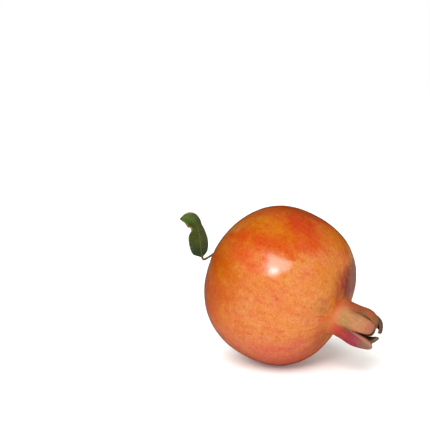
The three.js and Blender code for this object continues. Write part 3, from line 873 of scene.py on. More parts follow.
# Which way the upper face looks at the foot, the middle and the tip.
LEAF_FACING = [(0.1, -0.5, 0.8), (0.45, -0.87, 0.2), (0.3, -0.75, 0.55)]
print("the midrib bends through", len(LEAF_MIDRIB), "points")

# %% The leaf's outline
centres, ahead = even_curve(LEAF_MIDRIB, LEAF_STEPS)
shares = np.linspace(0, 1, LEAF_STEPS + 1)
facing = catmull(LEAF_FACING, shares)
across_leaf = np.cross(facing, ahead)
across_leaf /= np.linalg.norm(across_leaf, axis=1, keepdims=True)
up_leaf = np.cross(ahead, across_leaf)
blade = np.clip((shares - PETIOLE_SHARE) / (1 - PETIOLE_SHARE), 0, 1)


def spaced_widths(widths):
    """A smooth curve through evenly spaced widths, read at every ring of the blade."""
    widths = np.array(widths, float)
    last = len(widths) - 1
    knot = np.minimum((blade * last).astype(int), last - 1)
    t = blade * last - knot
    before, start, end, after = (
        widths[np.clip(knot + shift, 0, last)] for shift in (-1, 0, 1, 2)
    )
    leaving, arriving = (end - before) / 2, (after - start) / 2
    cubic = 2 * start - 2 * end + leaving + arriving
    square = -3 * start + 3 * end - 2 * leaving - arriving
    width = ((cubic * t + square) * t + leaving) * t + start
    return np.maximum(PETIOLE_RADIUS * (1 - 0.3 * blade), width)[:, None]


left_width = spaced_widths(LEFT_HALF_WIDTHS)
right_width = spaced_widths(RIGHT_HALF_WIDTHS)
opened = smoothstep((left_width + right_width) / 2, PETIOLE_RADIUS, 2.5)


def half_width_at(place):
    return np.where(place > 0, left_width, right_width)


print("the blade is up to", (left_width + right_width).max().round(1), "mm wide")

# %% The leaf's faces
def vein_line(place):
    """Side veins that leave the midrib at a slant and fade before the edge."""
    phase = SIDE_VEINS * blade[:, None] - VEIN_SLANT * np.abs(place) * half_width_at(place)
    line = np.exp(-(((phase - np.round(phase)) / VEIN_WIDTH) ** 2))
    return line * smoothstep(np.abs(place), 0.98, 0.6)


def leaf_face(place, face):
    """One face of the blade, from edge to edge."""
    ridge = MIDRIB_HEIGHT * np.exp(-((place / MIDRIB_SPREAD) ** 2)) * opened
    round_stalk = PETIOLE_RADIUS * np.sqrt(1.02 - place ** 2)
    flat = LEAF_THICKNESS / 2 * (1 - EDGE_THINNING * place ** 6)
    half = lerp(round_stalk, flat, opened)
    if face < 0:
        half = half + ridge + LOWER_VEIN_HEIGHT * vein_line(place) * opened
    else:
        groove = GROOVE_DEPTH * np.exp(-((place / GROOVE_WIDTH) ** 2))
        half = half - (groove + VEIN_DEPTH * vein_line(place)) * opened
    half_width = half_width_at(place)
    fold = LEAF_FOLD * half_width * np.abs(place) * opened
    phase = 2 * math.pi * LEAF_WAVES * blade[:, None]
    waves = np.where(place > 0, np.sin(phase), np.sin(phase + LEAF_WAVE_SHIFT))
    rise = fold + LEAF_WAVE * waves * place ** 2 * opened + face * half
    centre = centres[:, None, :] + (half_width * place)[..., None] * across_leaf[:, None, :]
    return centre + rise[..., None] * up_leaf[:, None, :]


print(SIDE_VEINS, "side veins on each side")

# %% The skin of the leaf
upper_places = np.linspace(1, -1, LEAF_POINTS_ACROSS)[None, :]
lower_places = upper_places[:, ::-1]
leaf_grid = np.concatenate([leaf_face(upper_places, 1), leaf_face(lower_places, -1)], axis=1)
leaf_grid += (LEAF_GRAIN_DEPTH * lumps(leaf_grid, 1.7))[..., None] * up_leaf[:, None, :]
places = np.concatenate([upper_places, lower_places], axis=1)
leaf = Skin()
leaf.add(
    BODY_MIDDLE + centres[0],
    BODY_MIDDLE + leaf_grid,
    BODY_MIDDLE + centres[-1],
    beside_midrib=places * half_width_at(places),
    up_blade=blade[:, None],
    edge_near=np.abs(places) * opened,
    blade_open=opened,
)
leaf_piece = put_in_scene(leaf.mesh("leaf"), "leaf_blade", "leaf")

# %% [markdown]
# ## Writing node trees in code
#
# Materials are built from nodes. Wiring them one call at a time gets long, so a small helper adds
# a node, feeds its sockets and hands back its output. A value is either a plain number or another
# node's output. Most of the looks are thin tints over a ground colour, like glazes in a painting,
# so two of the helpers lay tints where a mask is high.

# %% A helper for node trees
class Wiring:
    """Adds nodes to one tree."""

    def __init__(self, tree):
        self.tree = tree

    def feed(self, socket, value):
        if isinstance(value, bpy.types.NodeSocket):
            self.tree.links.new(value, socket)
        elif value is not None:
            socket.default_value = value

    def node(self, kind, inputs=(), **settings):
        """Adds a node and feeds its inputs, which are given by name or by number."""
        made = self.tree.nodes.new(kind)
        for name, value in settings.items():
            setattr(made, name, value)
        for name, value in dict(inputs).items():
            self.feed(made.inputs[name], value)
        return made

    def maths(self, operation, *values, clamp=False):
        settings = {"operation": operation, "use_clamp": clamp}
        return self.node("ShaderNodeMath", enumerate(values), **settings).outputs[0]

    def vector(self, operation, *values):
        made = self.node("ShaderNodeVectorMath", enumerate(values), operation=operation)
        return made.outputs["Value" if operation in {"LENGTH", "DOT_PRODUCT"} else "Vector"]

    def noise(self, place, scale, detail=2.0, roughness=0.5):
        inputs = {"Vector": place, "Scale": scale, "Detail": detail, "Roughness": roughness}
        return self.node("ShaderNodeTexNoise", inputs).outputs["Fac"]

    def between(self, value, low, high, start=0.0, end=1.0):
        """Eases from start to end as the value goes from low to high."""
        names = ("Value", "From Min", "From Max", "To Min", "To Max")
        inputs = zip(names, (value, low, high, start, end))
        return self.node(
            "ShaderNodeMapRange", inputs, interpolation_type="SMOOTHSTEP"
        ).outputs["Result"]

    def mix(self, share, first, second, blend="MIX"):
        settings = {"data_type": "RGBA", "blend_type": blend, "clamp_factor": True}
        inputs = {0: share, 6: first, 7: second}
        return self.node("ShaderNodeMix", inputs, **settings).outputs[2]

    def tinted(self, colour, tint, mask, strength):
        """Lays a tint over a colour where the mask is high."""
        return self.mix(self.maths("MULTIPLY", mask, strength), colour, tint)

    def layered(self, colour, layers, blend="MIX"):
        """Lays tints over a colour. Each layer is a value, where the tint starts, where it is
        full, its full strength and the tint."""
        for value, low, high, strength, tint in layers:
            colour = self.mix(self.between(value, low, high, 0.0, strength), colour, tint, blend)
        return colour

    def split(self, value):
        """The three parts of a vector."""
        return self.node("ShaderNodeSeparateXYZ", {0: value}).outputs

    def joined(self, **parts):
        """A vector from some of its parts."""
        return self.node("ShaderNodeCombineXYZ", parts).outputs[0]

    def place(self):
        """Where a point lies on its object, in millimetres."""
        metres = self.node("ShaderNodeTexCoord").outputs["Object"]
        return self.vector("SCALE", metres, None, None, 1 / MILLIMETRE)

    def attribute(self, name, output="Fac"):
        return self.node("ShaderNodeAttribute", attribute_name=name).outputs[output]

    def group(self, tree, output, **inputs):
        inputs = {name.replace("_", " "): value for name, value in inputs.items()}
        return self.node("ShaderNodeGroup", inputs, node_tree=tree).outputs[output]


print("node helper ready")

# %% A helper for effects
SOCKETS = {"value": "NodeSocketFloat", "place": "NodeSocketVector", "colour": "NodeSocketColor"}


def new_effect(name, inputs, outputs):
    """A shader node group with named inputs and outputs."""
    tree = bpy.data.node_groups.new(name, "ShaderNodeTree")
    for label, kind, default in inputs:
        socket = tree.interface.new_socket(label, in_out="INPUT", socket_type=SOCKETS[kind])
        if default is not None:
            socket.default_value = default
    for label, kind in outputs:
        tree.interface.new_socket(label, in_out="OUTPUT", socket_type=SOCKETS[kind])
    w = Wiring(tree)
    return tree, w, w.node("NodeGroupInput").outputs, w.node("NodeGroupOutput").inputs


print("an effect can take", list(SOCKETS))

# %% [markdown]
# ## Effects that the materials share
#
# Pores, mottling, lengthwise fibres and soft-edged patches turn up on more than one of the
# finishes. Each is a node group, built once. It takes a place and a few sizes, and puts out masks
# and values only, so the shader itself stays in each material where an export can read it.

# %% Meridian streaks
# How far the noise moves on for each millimetre towards the crown. A low value draws it out.
STREAK_CLIMB = 0.018
streak_effect, w, given, made = new_effect(
    "meridian_streaks",
    [("Place", "place", None), ("Streaks", "value", 8.0), ("Seed", "value", 0.0)],
    [("Value", "value")],
)
parts = w.split(given["Place"])
around = w.vector("NORMALIZE", w.joined(X=parts["X"], Y=parts["Y"]))
climb = w.joined(Z=w.maths("MULTIPLY_ADD", parts["Z"], STREAK_CLIMB, given["Seed"]))
w.feed(made["Value"], w.noise(w.vector("ADD", around, climb), given["Streaks"], 5.0, 0.62))
print("made", streak_effect.name)

# %% Patch of colour
patch_effect, w, given, made = new_effect(
    "patch_of_colour",
    [("Place", "place", None), ("Centre", "place", (0, 0, 1)), ("Stretch", "place", (1, 1, 1)),
     ("Spread", "value", 0.4), ("Softness", "value", 0.2), ("Raggedness", "value", 0.1),
     ("Grain", "value", 6.0)],
    [("Mask", "value")],
)
direction = w.vector("NORMALIZE", given["Place"])
away = w.vector("MULTIPLY", w.vector("SUBTRACT", direction, given["Centre"]), given["Stretch"])
cloudy = w.noise(direction, given["Grain"], 4.0, 0.62)
streaky = w.group(streak_effect, "Value", Place=given["Place"], Streaks=given["Grain"], Seed=9.0)
torn = w.maths("SUBTRACT", w.maths("ADD", cloudy, streaky), 1.0)
reach = w.maths("MULTIPLY_ADD", torn, given["Raggedness"], w.vector("LENGTH", away))
inner = w.maths("SUBTRACT", given["Spread"], given["Softness"])
outer = w.maths("ADD", given["Spread"], given["Softness"])
w.feed(made["Mask"], w.between(reach, inner, outer, 1.0, 0.0))
print("made", patch_effect.name)

# %% Pores
pores_effect, w, given, made = new_effect(
    "pores",
    [("Place", "place", None), ("Per mm", "value", 0.6), ("Size", "value", 0.2),
     ("Share", "value", 0.5)],
    [("Mask", "value")],
)
cell_inputs = {"Vector": given["Place"], "Scale": given["Per mm"], "Randomness": 1.0}
cells = w.node("ShaderNodeTexVoronoi", cell_inputs, feature="F1").outputs
drawn = w.node("ShaderNodeSeparateColor", {0: cells["Color"]}).outputs
size = w.maths("MULTIPLY", given["Size"], w.maths("ADD", drawn[1], 0.45))
spot = w.between(cells["Distance"], w.maths("MULTIPLY", size, 0.35), size, 1.0, 0.0)
there = w.maths("LESS_THAN", drawn[0], given["Share"])
w.feed(made["Mask"], w.maths("MULTIPLY", spot, there))
print("made", pores_effect.name)

# %% Mottling
mottle_effect, w, given, made = new_effect(
    "mottling",
    [("Place", "place", None), ("Per mm", "value", 0.2), ("Contrast", "value", 1.0)],
    [("Value", "value")],
)
cloud = w.maths("SUBTRACT", w.noise(given["Place"], given["Per mm"], 5.0, 0.6), 0.5)
w.feed(made["Value"], w.maths("MULTIPLY_ADD", cloud, given["Contrast"], 0.5, clamp=True))
print("made", mottle_effect.name)

# %% Fibres
fibre_effect, w, given, made = new_effect(
    "fibres",
    [("Place", "place", None), ("Squeeze", "place", (1, 1, 0.1)), ("Per mm", "value", 1.0)],
    [("Value", "value")],
)
drawn_out = w.vector("MULTIPLY", given["Place"], given["Squeeze"])
w.feed(made["Value"], w.noise(drawn_out, given["Per mm"], 4.0, 0.6))
print("made", fibre_effect.name)

# %% [markdown]
# ## The rind's finish
#
# Ripe rind is peach orange with a red blush on the side that saw the sun, golden where the blush
# thins out and salmon pink underneath. Close up it is peppered with tiny brown pores and clouded
# by a faint mottling. A painted image would need unwrapping and would stretch at the crown, so
# the colours are layered from soft patches placed by direction round the fruit. Each is torn at
# its edge by noise. Fine grain multiplies what is there rather than adding a tint of its own, so
# it stays in keeping from patch to patch. The crown takes over with the tints of its lobes. The
# wax could be a coat of its own, but the shader's own gloss gives the same single highlight.

# %% A new material
def new_material(name, viewport):
    """An empty material with a Principled shader and its output."""
    material = bpy.data.materials.new(name)
    material.use_nodes = True
    material.diffuse_color = viewport
    tree = material.node_tree
    shader = next(node for node in tree.nodes if node.type == "BSDF_PRINCIPLED")
    return material, Wiring(tree), shader


def bump(w, height, depth_mm):
    """A Bump node whose full height is a depth in millimetres."""
    inputs = {"Strength": 1.0, "Distance": depth_mm * MILLIMETRE, "Height": height}
    return w.node("ShaderNodeBump", inputs).outputs["Normal"]


def finish(piece, material, w, shader, **looks):
    """Feeds a shader's sockets and puts the material on its piece."""
    for name, value in looks.items():
        w.feed(shader.inputs[name.replace("_", " ")], value)
    piece.data.materials.append(material)
    print(material.name, "has", len(material.node_tree.nodes), "nodes")


print("material helpers ready")

# %% Named tints
PEACH = tint(236, 139, 68)
PALE_PEACH = tint(238, 147, 80)
SALMON = tint(234, 122, 84)
PINK = tint(228, 106, 84)
# Deep orange and burnt are partly painted bounce light and shade for the left side.
DEEP_ORANGE_AND_PAINTED_BOUNCE = tint(220, 102, 2)
BLUSH = tint(230, 84, 16)
SCARLET = tint(224, 66, 26)
GOLD = tint(232, 128, 14)
HONEY = tint(234, 150, 52)
RUST = tint(196, 84, 30)
CRIMSON = tint(136, 34, 14)
DUSK = tint(158, 114, 97)
BURNT_AND_PAINTED_SHADE = tint(186, 76, 2)
EMBER = tint(206, 74, 2)
NECK_ORANGE = tint(218, 108, 42)
ROSE = tint(228, 110, 90)
CORAL = tint(244, 112, 66)
NECK_SHADE = tint(184, 88, 64)
TAN = tint(190, 116, 68)
PORE_BROWN = tint(160, 74, 26)
OLIVE = tint(132, 104, 48)
print("peach is", [round(value, 3) for value in PEACH[:3]])

# %% Body colours
rind_material, w, rind_shader = new_material("waxy_rind", PEACH)
own = w.attribute("own_place", "Vector")


def patch(centre, spread, softness, raggedness, **more):
    """A mask for a soft-edged patch round a direction on the fruit."""
    return w.group(
        patch_effect, "Mask", Place=own, Centre=centre, Spread=spread, Softness=softness,
        Raggedness=raggedness, **more,
    )


def mottle(per_mm, contrast):
    return w.group(mottle_effect, "Value", Place=own, Per_mm=per_mm, Contrast=contrast)


# Each patch: its tint, strength, centre, stretch, spread, softness and raggedness.
PATCHES = [
    # The first two are partly painted bounce light and shade on the left side.
    (DEEP_ORANGE_AND_PAINTED_BOUNCE, 0.95, (0.10, -0.72, -0.68), (1, 1, 1), 0.62, 0.32, 0.30),
    (BURNT_AND_PAINTED_SHADE, 0.70, (0.20, -0.48, -0.86), (1, 1, 1), 0.45, 0.28, 0.25),
    (SALMON, 0.85, (0.85, -0.42, 0.20), (1, 1, 0.7), 0.56, 0.32, 0.30),
    (ROSE, 0.75, (0.66, -0.48, 0.58), (1, 1, 1), 0.40, 0.25, 0.30),
    (NECK_SHADE, 0.55, (0.29, -0.27, 0.92), (1, 1, 1), 0.17, 0.12, 0.25),
    (EMBER, 0.45, (-0.36, -0.32, 0.87), (1, 1, 1), 0.15, 0.10, 0.25),
    (BLUSH, 0.55, (-0.97, -0.10, -0.05), (1, 1, 0.8), 0.50, 0.25, 0.45),
    (EMBER, 0.85, (-0.95, 0.18, -0.16), (1, 1, 0.7), 0.42, 0.24, 0.30),
    (BLUSH, 0.90, (-0.60, -0.72, -0.30), (1.4, 1.4, 0.7), 0.24, 0.11, 0.35),
    (BLUSH, 0.90, (-0.72, -0.69, 0.00), (1.6, 1.4, 0.7), 0.25, 0.11, 0.35),
    (BLUSH, 0.85, (-0.86, -0.42, 0.24), (1.3, 1.1, 0.8), 0.24, 0.12, 0.40),
    (CORAL, 0.75, (-0.47, -0.88, -0.06), (1.3, 1, 0.7), 0.20, 0.12, 0.35),
    (SCARLET, 0.80, (-0.95, -0.28, 0.10), (1, 1.2, 1), 0.17, 0.10, 0.40),
    (GOLD, 0.90, (-0.80, -0.55, -0.24), (1.3, 1.6, 0.65), 0.22, 0.11, 0.35),
    (GOLD, 0.80, (-0.87, 0.00, 0.48), (1, 0.8, 1.1), 0.22, 0.13, 0.25),
    (HONEY, 0.60, (-0.45, -0.35, 0.78), (1, 1, 1), 0.26, 0.15, 0.25),
    (RUST, 0.85, (-0.38, -0.08, 0.92), (1, 1, 1), 0.26, 0.12, 0.25),
    (TAN, 0.55, (-0.20, -0.50, 0.84), (1, 1, 1), 0.12, 0.08, 0.30),
    (CRIMSON, 0.95, (-0.46, 0.12, 0.88), (1, 0.8, 1), 0.22, 0.10, 0.20),
    (DUSK, 0.75, (-0.47, 0.32, 0.83), (1, 1, 1), 0.25, 0.10, 0.20),
]
# Where the orange is purest: centre, spread and the share of each colour that is kept.
# The first, on the left side, is partly painted: orange bounce light from a fruit beside it.
DEEPENED_AND_PAINTED_BOUNCE = [
    ((-0.05, -0.83, -0.55), 0.40, (0.94, 0.88, 0.20, 1)),
    ((-0.80, -0.50, -0.25), 0.48, (1.0, 1.0, 0.45, 1)),
]
skin = w.mix(w.between(mottle(0.05, 2.2), 0.3, 0.7), PEACH, PALE_PEACH)
for colour, strength, centre, stretch, spread, softness, raggedness in PATCHES:
    mask = patch(centre, spread, softness, raggedness, Stretch=stretch)
    skin = w.tinted(skin, colour, mask, strength)
print(len(PATCHES), "patches of colour")

# %% Streaks, mottling and the stem end
streaks = w.group(streak_effect, "Value", Place=own, Streaks=5.0, Seed=1.0)
fine_streaks = w.group(streak_effect, "Value", Place=own, Streaks=17.0, Seed=5.0)
ripe_clouds = mottle(0.15, 2.4)
skin = w.layered(skin, [
    (ripe_clouds, 0.45, 0.95, 0.35, HONEY),
    (ripe_clouds, 0.50, 0.05, 0.35, PINK),
    (streaks, 0.48, 0.70, 0.32, BLUSH),
    (fine_streaks, 0.48, 0.70, 0.42, BLUSH),
])
# Fine grain darkens or lightens what is there. Its tints are shares of the light kept.
fine_clouds = mottle(0.55, 2.0)
freckles = w.noise(own, 1.0, 3.0, 0.65)
skin = w.layered(skin, [
    (fine_clouds, 0.50, 0.85, 1.0, (1.05, 1.10, 1.05, 1)),
    (fine_clouds, 0.50, 0.15, 1.0, (0.95, 0.84, 0.75, 1)),
    (freckles, 0.50, 0.66, 1.0, (0.88, 0.80, 0.68, 1)),
    (freckles, 0.47, 0.32, 1.0, (1.06, 1.16, 1.20, 1)),
], "MULTIPLY")
for centre, spread, kept in DEEPENED_AND_PAINTED_BOUNCE:
    skin = w.mix(patch(centre, spread, 0.28, 0.35), skin, kept, "MULTIPLY")
skin = w.tinted(skin, OLIVE, patch((0, 0, -1), 0.17, 0.10, 0.25, Grain=14.0), 0.8)

pores = w.group(pores_effect, "Mask", Place=own, Per_mm=0.62, Size=0.26, Share=0.55)
dust = w.group(pores_effect, "Mask", Place=own, Per_mm=1.5, Size=0.34, Share=0.5)
skin = w.tinted(skin, PORE_BROWN, pores, 0.28)
skin = w.tinted(skin, PORE_BROWN, dust, 0.25)
print("body colours ready")

# %% Crown colours
neck_up, lobe_up, cup_side, rim_edge, notch_side = (
    w.attribute(name) for name in ("neck_up", "lobe_up", "cup_side", "rim_edge", "notch_side")
)
root, middle, tip, rim = (w.attribute(name, "Color") for name in LOBE_PLACES)
lobe_fibres = w.group(fibre_effect, "Value", Place=own, Squeeze=(1, 1, 0.12), Per_mm=1.3)
wobble = w.maths("MULTIPLY", w.maths("SUBTRACT", lobe_fibres, 0.5), 0.35)
up = w.maths("ADD", lobe_up, wobble)
crown = w.layered(root, [(up, 0.26, 0.55, 1.0, middle), (up, 0.60, 0.90, 1.0, tip)])
lobe_clouds = mottle(0.26, 2.6)
crown = w.layered(crown, [
    (lobe_clouds, 0.45, 0.75, 0.9, (0.80, 0.98, 0.80, 1)),
    (lobe_clouds, 0.45, 0.15, 0.9, (1.02, 0.90, 0.90, 1)),
    (freckles, 0.50, 0.70, 1.0, (0.82, 0.78, 0.76, 1)),
], "MULTIPLY")
# Painted shade: each lobe is darker along its sides, and darker still in the notches.
off_neck = w.between(lobe_up, 0.15, 0.45)
shaded_side = w.maths("MULTIPLY", w.between(notch_side, 0.30, 0.95), off_neck)
crown = w.mix(shaded_side, crown, (0.60, 0.56, 0.40, 1), "MULTIPLY")
groove = w.maths("MULTIPLY", w.between(notch_side, 0.72, 1.0), w.between(lobe_up, 0.18, 0.42))
crown = w.tinted(crown, tint(116, 70, 32), groove, 0.6)
crown = w.layered(crown, [(lobe_fibres, 0.50, 0.74, 0.42, tint(128, 72, 42))])
crown = w.tinted(crown, rim, rim_edge, 0.75)
inside = w.layered(tint(206, 78, 48), [
    (lobe_up, 0.35, 1.0, 1.0, tint(160, 108, 70)),
    (lobe_fibres, 0.45, 0.75, 0.5, tint(104, 56, 34)),
])
inside = w.tinted(inside, rim, rim_edge, 0.7)
crown = w.layered(crown, [(cup_side, 0.45, 0.75, 1.0, inside)])
past_neck = w.maths("MULTIPLY_ADD", lobe_up, 0.5, w.maths("ADD", neck_up, wobble))
rind_colour = w.layered(skin, [
    (neck_up, 0.1, 0.6, 0.7, NECK_ORANGE),
    (past_neck, 0.60, 1.25, 1.0, crown),
])
print("crown colours ready")

# %% Gloss and fine relief of the rind
RIND_RELIEF_DEPTH = 0.035
dull = w.between(fine_clouds, 0.2, 0.8, 0.14, 0.22)
dry = w.between(neck_up, 0.2, 0.9, 0.0, 0.44)
on_lobes = w.maths("MULTIPLY", lobe_fibres, w.between(lobe_up, 0.15, 0.5))
height = w.maths("MULTIPLY", w.noise(own, 1.1, 4.0, 0.6), 0.55)
for relief_mask, share in ((pores, -0.35), (dust, -0.12), (on_lobes, 8.0)):
    height = w.maths("MULTIPLY_ADD", relief_mask, share, height)
rind_shader.inputs["Specular IOR Level"].default_value = 0.68
finish(
    rind_piece, rind_material, w, rind_shader,
    Base_Color=rind_colour,
    Roughness=w.maths("MULTIPLY_ADD", pores, 0.05, w.maths("ADD", dull, dry)),
    Normal=bump(w, height, RIND_RELIEF_DEPTH),
)

# %% [markdown]
# ## Finishes of the stamens, the stem and the leaf
#
# The dry parts are matt: brown filaments with dusty tan anthers, and a pale woody stub with dark
# pits. The leaf is a deep green with a paler midrib, olive clouds and a dry tan edge. All three
# use the shared effects with their own sizes.

# %% Stamen finish
stamen_material, w, shader = new_material("dried_stamen", tint(84, 56, 38))
place = w.place()
clouds = w.group(mottle_effect, "Value", Place=place, Per_mm=0.9, Contrast=2.0)
specks = w.group(pores_effect, "Mask", Place=place, Per_mm=3.0, Size=0.4, Share=0.6)
filament = w.mix(clouds, tint(52, 30, 20), tint(122, 82, 52))
pod = w.mix(clouds, tint(112, 88, 64), tint(176, 148, 112))
colour = w.mix(w.attribute("anther"), filament, pod)
finish(
    stamens_piece, stamen_material, w, shader,
    Base_Color=w.tinted(colour, tint(44, 26, 18), specks, 0.5),
    Roughness=w.between(clouds, 0.2, 0.8, 0.75, 0.95),
    Normal=bump(w, w.noise(place, 3.5, 4.0), 0.1),
)

# %% Stem finish
stem_material, w, shader = new_material("dry_stem", tint(168, 140, 98))
own = w.attribute("own_place", "Vector")
fibres = w.group(fibre_effect, "Value", Place=own, Squeeze=(1, 1, 0.15), Per_mm=2.2)
clouds = w.group(mottle_effect, "Value", Place=own, Per_mm=0.7, Contrast=2.4)
pits = w.group(pores_effect, "Mask", Place=own, Per_mm=1.6, Size=0.5, Share=0.5)
bark = w.mix(fibres, tint(112, 86, 52), tint(196, 170, 124))
bark = w.layered(bark, [(clouds, 0.5, 0.85, 0.5, tint(104, 96, 50))])
twig = w.mix(fibres, tint(52, 36, 24), tint(96, 70, 46))
cut = w.mix(clouds, tint(206, 184, 142), tint(232, 214, 176))
cut = w.tinted(cut, tint(74, 48, 30), pits, 0.8)
colour = w.mix(w.attribute("twig"), bark, twig)
finish(
    stem_piece, stem_material, w, shader,
    Base_Color=w.mix(w.attribute("cut_end"), colour, cut),
    Roughness=w.between(fibres, 0.2, 0.8, 0.9, 0.7),
    Normal=bump(w, w.maths("MULTIPLY_ADD", pits, -0.6, fibres), 0.2),
)

# %% Leaf finish
leaf_material, w, shader = new_material("leaf", tint(84, 112, 48))
beside = w.attribute("beside_midrib")
along = w.attribute("up_blade")
from_midrib = w.maths("ABSOLUTE", beside)
slant = w.maths("MULTIPLY", along, float(SIDE_VEINS))
slant = w.maths("MULTIPLY_ADD", from_midrib, -VEIN_SLANT, slant)
to_vein = w.maths("ABSOLUTE", w.maths("SUBTRACT", slant, w.maths("ROUND", slant)))
side_veins = w.between(to_vein, 0.03, 0.14, 1.0, 0.0)
midrib = w.between(from_midrib, 0.15, 0.55, 1.0, 0.0)
place = w.place()
clouds = w.group(mottle_effect, "Value", Place=place, Per_mm=0.22, Contrast=2.4)
grain = w.group(mottle_effect, "Value", Place=place, Per_mm=1.6, Contrast=1.6)
specks = w.group(pores_effect, "Mask", Place=place, Per_mm=1.1, Size=0.3, Share=0.25)
ragged = w.maths("SUBTRACT", grain, 0.5)
ragged_up = w.maths("MULTIPLY_ADD", ragged, 0.12, along)
ragged_beside = w.maths("MULTIPLY_ADD", ragged, 1.2, beside)
# Painted shade: the blade's green darkens towards the stalk.
green = w.layered(w.mix(clouds, tint(56, 78, 4), tint(92, 100, 34)), [
    (ragged_up, 0.62, 0.84, 1.0, w.mix(clouds, tint(64, 122, 40), tint(112, 126, 48))),
    (ragged_up, 0.36, 0.10, 0.85, tint(34, 58, 26)),
    (ragged_beside, -0.9, -3.4, 0.7, tint(74, 72, 50)),
    (grain, 0.35, 0.70, 0.30, tint(40, 66, 24)),
])
for mask, strength, vein_tint in (
    (side_veins, 0.12, tint(118, 128, 66)),
    (midrib, 0.45, tint(112, 118, 62)),
    (specks, 0.5, tint(86, 70, 30)),
):
    green = w.tinted(green, vein_tint, mask, strength)
left_side = w.between(beside, -0.5, 0.5)
dry_tip = w.between(w.maths("MULTIPLY_ADD", left_side, 0.24, ragged_up), 0.76, 0.90)
dry = w.maths("MULTIPLY_ADD", dry_tip, 0.24, w.attribute("edge_near"))
dry = w.maths("MULTIPLY_ADD", ragged, 0.16, dry)
green = w.layered(green, [(dry, 0.92, 1.02, 0.9, tint(184, 154, 96))])
stalk = w.mix(grain, tint(86, 62, 34), tint(118, 108, 52))
shader.inputs["Specular IOR Level"].default_value = 0.3
finish(
    leaf_piece, leaf_material, w, shader,
    Base_Color=w.mix(w.attribute("blade_open"), stalk, green),
    Roughness=w.between(grain, 0.2, 0.8, 0.40, 0.56),
    Normal=bump(w, w.maths("MULTIPLY_ADD", side_veins, -0.6, grain), 0.08),
)

# %% [markdown]
# ## Floor, light and camera
#
# The fruit lies on a plain white sweep, a little overexposed, as in a catalogue picture. A white
# world gives the even light of a light tent, dimmer on the left. A wide soft box, high on the
# near side, makes the leaning window of gloss on the rind, and a small bright one its hot corner.
# The tent and the sweep are dim where they are mirrored, or the whole rind would look greyed by
# them.
#
# A soft shadow grounds the fruit. It comes from a sun that lights the sweep alone, so it can be
# placed without changing the rind. The sweep glows faintly, because a real shadow on white paper
# is never deep, and it gives back a little less light than it shows, so that the underside of the
# fruit keeps its own colour.
#
# The camera stands a little above the fruit. A lens of 85 mm on a full-frame sensor keeps the
# crown from looming.

# %% Floor
FLOOR_REACH = 6.0
FLOOR_GLOW = 0.14
WHITE = (1, 1, 1, 1)
BLACK = (0, 0, 0, 1)
corners = [(x * FLOOR_REACH, y * FLOOR_REACH, 0) for x, y in ((-1, -1), (1, -1), (1, 1), (-1, 1))]
floor_mesh = bpy.data.meshes.new("floor")
floor_mesh.from_pydata(corners, [], [(0, 1, 2, 3)])
floor = bpy.data.objects.new("floor", floor_mesh)
bpy.context.scene.collection.objects.link(floor)
floor_material, w, shader = new_material("pale_floor", (0.9, 0.9, 0.9, 1))
rays = w.node("ShaderNodeLightPath").outputs
faint = w.group(mottle_effect, "Value", Place=w.place(), Per_mm=0.01, Contrast=1.0)
paper = w.mix(faint, (0.90, 0.92, 0.90, 1), (0.92, 0.94, 0.92, 1))
paper = w.mix(rays["Is Diffuse Ray"], paper, (0.66, 0.67, 0.66, 1))
shader.inputs["Emission Strength"].default_value = FLOOR_GLOW
shader.inputs["Roughness"].default_value = 0.8
shader.inputs["Specular IOR Level"].default_value = 0.1
finish(
    floor, floor_material, w, shader,
    Base_Color=w.mix(rays["Is Glossy Ray"], paper, (0.10, 0.10, 0.10, 1)),
    Emission_Color=w.mix(rays["Is Glossy Ray"], WHITE, BLACK),
)

# %% The white tent
LEFT_SIDE = (-0.89, -0.45, 0.0)
TENT_STRENGTH = 0.55
TENT_STRENGTH_LEFT = 0.15
TENT_MIRRORED = 0.02
scene = bpy.context.scene
scene.view_settings.view_transform = "Standard"
scene.view_settings.look = "None"

world = bpy.data.worlds.new("white_tent")
world.use_nodes = True
w = Wiring(world.node_tree)
background = next(node for node in world.node_tree.nodes if node.type == "BACKGROUND")
rays = w.node("ShaderNodeLightPath").outputs
towards = w.vector("DOT_PRODUCT", w.node("ShaderNodeTexCoord").outputs["Generated"], LEFT_SIDE)
wall = w.between(towards, 0.1, 0.9, TENT_STRENGTH, TENT_STRENGTH_LEFT)
shown = w.maths("ADD", rays["Is Camera Ray"], rays["Is Glossy Ray"], clamp=True)
seen = w.maths("MULTIPLY_ADD", rays["Is Glossy Ray"], TENT_MIRRORED, rays["Is Camera Ray"])
lighting = w.maths("MULTIPLY", w.maths("SUBTRACT", 1.0, shown), wall)
w.feed(background.inputs["Strength"], w.maths("ADD", seen, lighting))
background.inputs["Color"].default_value = WHITE
scene.world = world
print("the tent's strength is", TENT_STRENGTH, "and", TENT_STRENGTH_LEFT, "on the left")

# %% Lamps
WINDOW_COLOUR = (1.0, 0.97, 0.97)
WINDOW_GLOW_DISTANCE = 1.2
SWEEP_LIGHT_STRENGTH = 3.0
SWEEP_LIGHT_SOFTNESS = 65 * DEGREE
fruit_middle = Vector(BODY_MIDDLE * MILLIMETRE)


def direction_of(azimuth, elevation):
    """The direction from the fruit to a light. Angles are in degrees."""
    a, e = azimuth * DEGREE, elevation * DEGREE
    return Vector((math.sin(a) * math.cos(e), -math.cos(a) * math.cos(e), math.sin(e)))


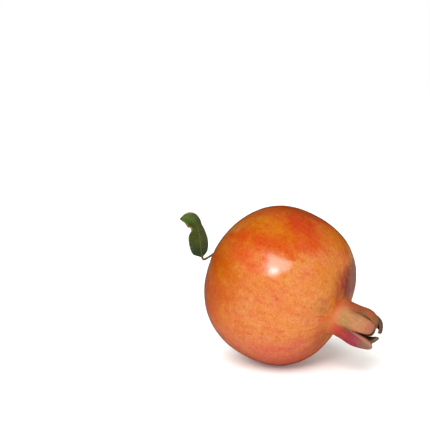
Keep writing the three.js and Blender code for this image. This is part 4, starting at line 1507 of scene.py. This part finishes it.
def lamp_object(name, kind):
    """A lamp and the object that holds it."""
    lamp = bpy.data.lights.new(name, kind)
    holder = bpy.data.objects.new(name, lamp)
    scene.collection.objects.link(holder)
    return lamp, holder


def soft_box(name, place, along, upward, width, height, glow):
    """A rectangular lamp. Glow is its brightness, whatever its size."""
    lamp, holder = lamp_object(name, "AREA")
    lamp.shape = "RECTANGLE"
    lamp.size, lamp.size_y = width, height
    lamp.energy = glow * math.pi * width * height
    lamp.color = WINDOW_COLOUR
    holder.location = fruit_middle + Vector(place)
    side = Vector(along).normalized()
    back = side.cross(Vector(upward)).normalized()
    holder.rotation_euler = Matrix((side, back.cross(side), back)).transposed().to_euler()
    print(name, "stands at", [round(value, 2) for value in holder.location])


soft_box(
    "window_box", place=(0.44, -0.82, 0.77), along=(0.76, -0.36, 0.54),
    upward=(-0.13, 0.73, 0.67), width=1.12, height=0.51, glow=5.4,
)
soft_box(
    "window_glow", place=WINDOW_GLOW_DISTANCE * direction_of(9, 29), along=(0.99, 0.16, 0.0),
    upward=(0, 0, 1), width=0.28, height=0.28, glow=12.0,
)

# The sweep's own sun. The fruit throws its shadow backwards and to the right.
sweep_light, holder = lamp_object("sweep_light", "SUN")
sweep_light.energy = SWEEP_LIGHT_STRENGTH
sweep_light.angle = SWEEP_LIGHT_SOFTNESS
holder.rotation_euler = direction_of(-5, 58).to_track_quat("Z", "Y").to_euler()
sweep_only = bpy.data.collections.new("sweep_only")
sweep_only.objects.link(floor)
holder.light_linking.receiver_collection = sweep_only

# %% Camera
CAMERA_PLACE = Vector((0.24099, -0.47457, 0.15596))
CAMERA_AIM = Vector((-0.03558, -0.00864, 0.07857))
camera_data = bpy.data.cameras.new("camera")
camera_data.lens = 85.0
camera_data.sensor_fit = "HORIZONTAL"
camera_data.sensor_width = 36.0
camera_data.clip_start = 0.01
camera = bpy.data.objects.new("camera", camera_data)
camera.location = CAMERA_PLACE
camera.rotation_euler = (CAMERA_AIM - CAMERA_PLACE).to_track_quat("-Z", "Y").to_euler()
scene.collection.objects.link(camera)
scene.camera = camera
print("the camera is", round((CAMERA_PLACE - fruit_middle).length, 3), "m from the fruit")
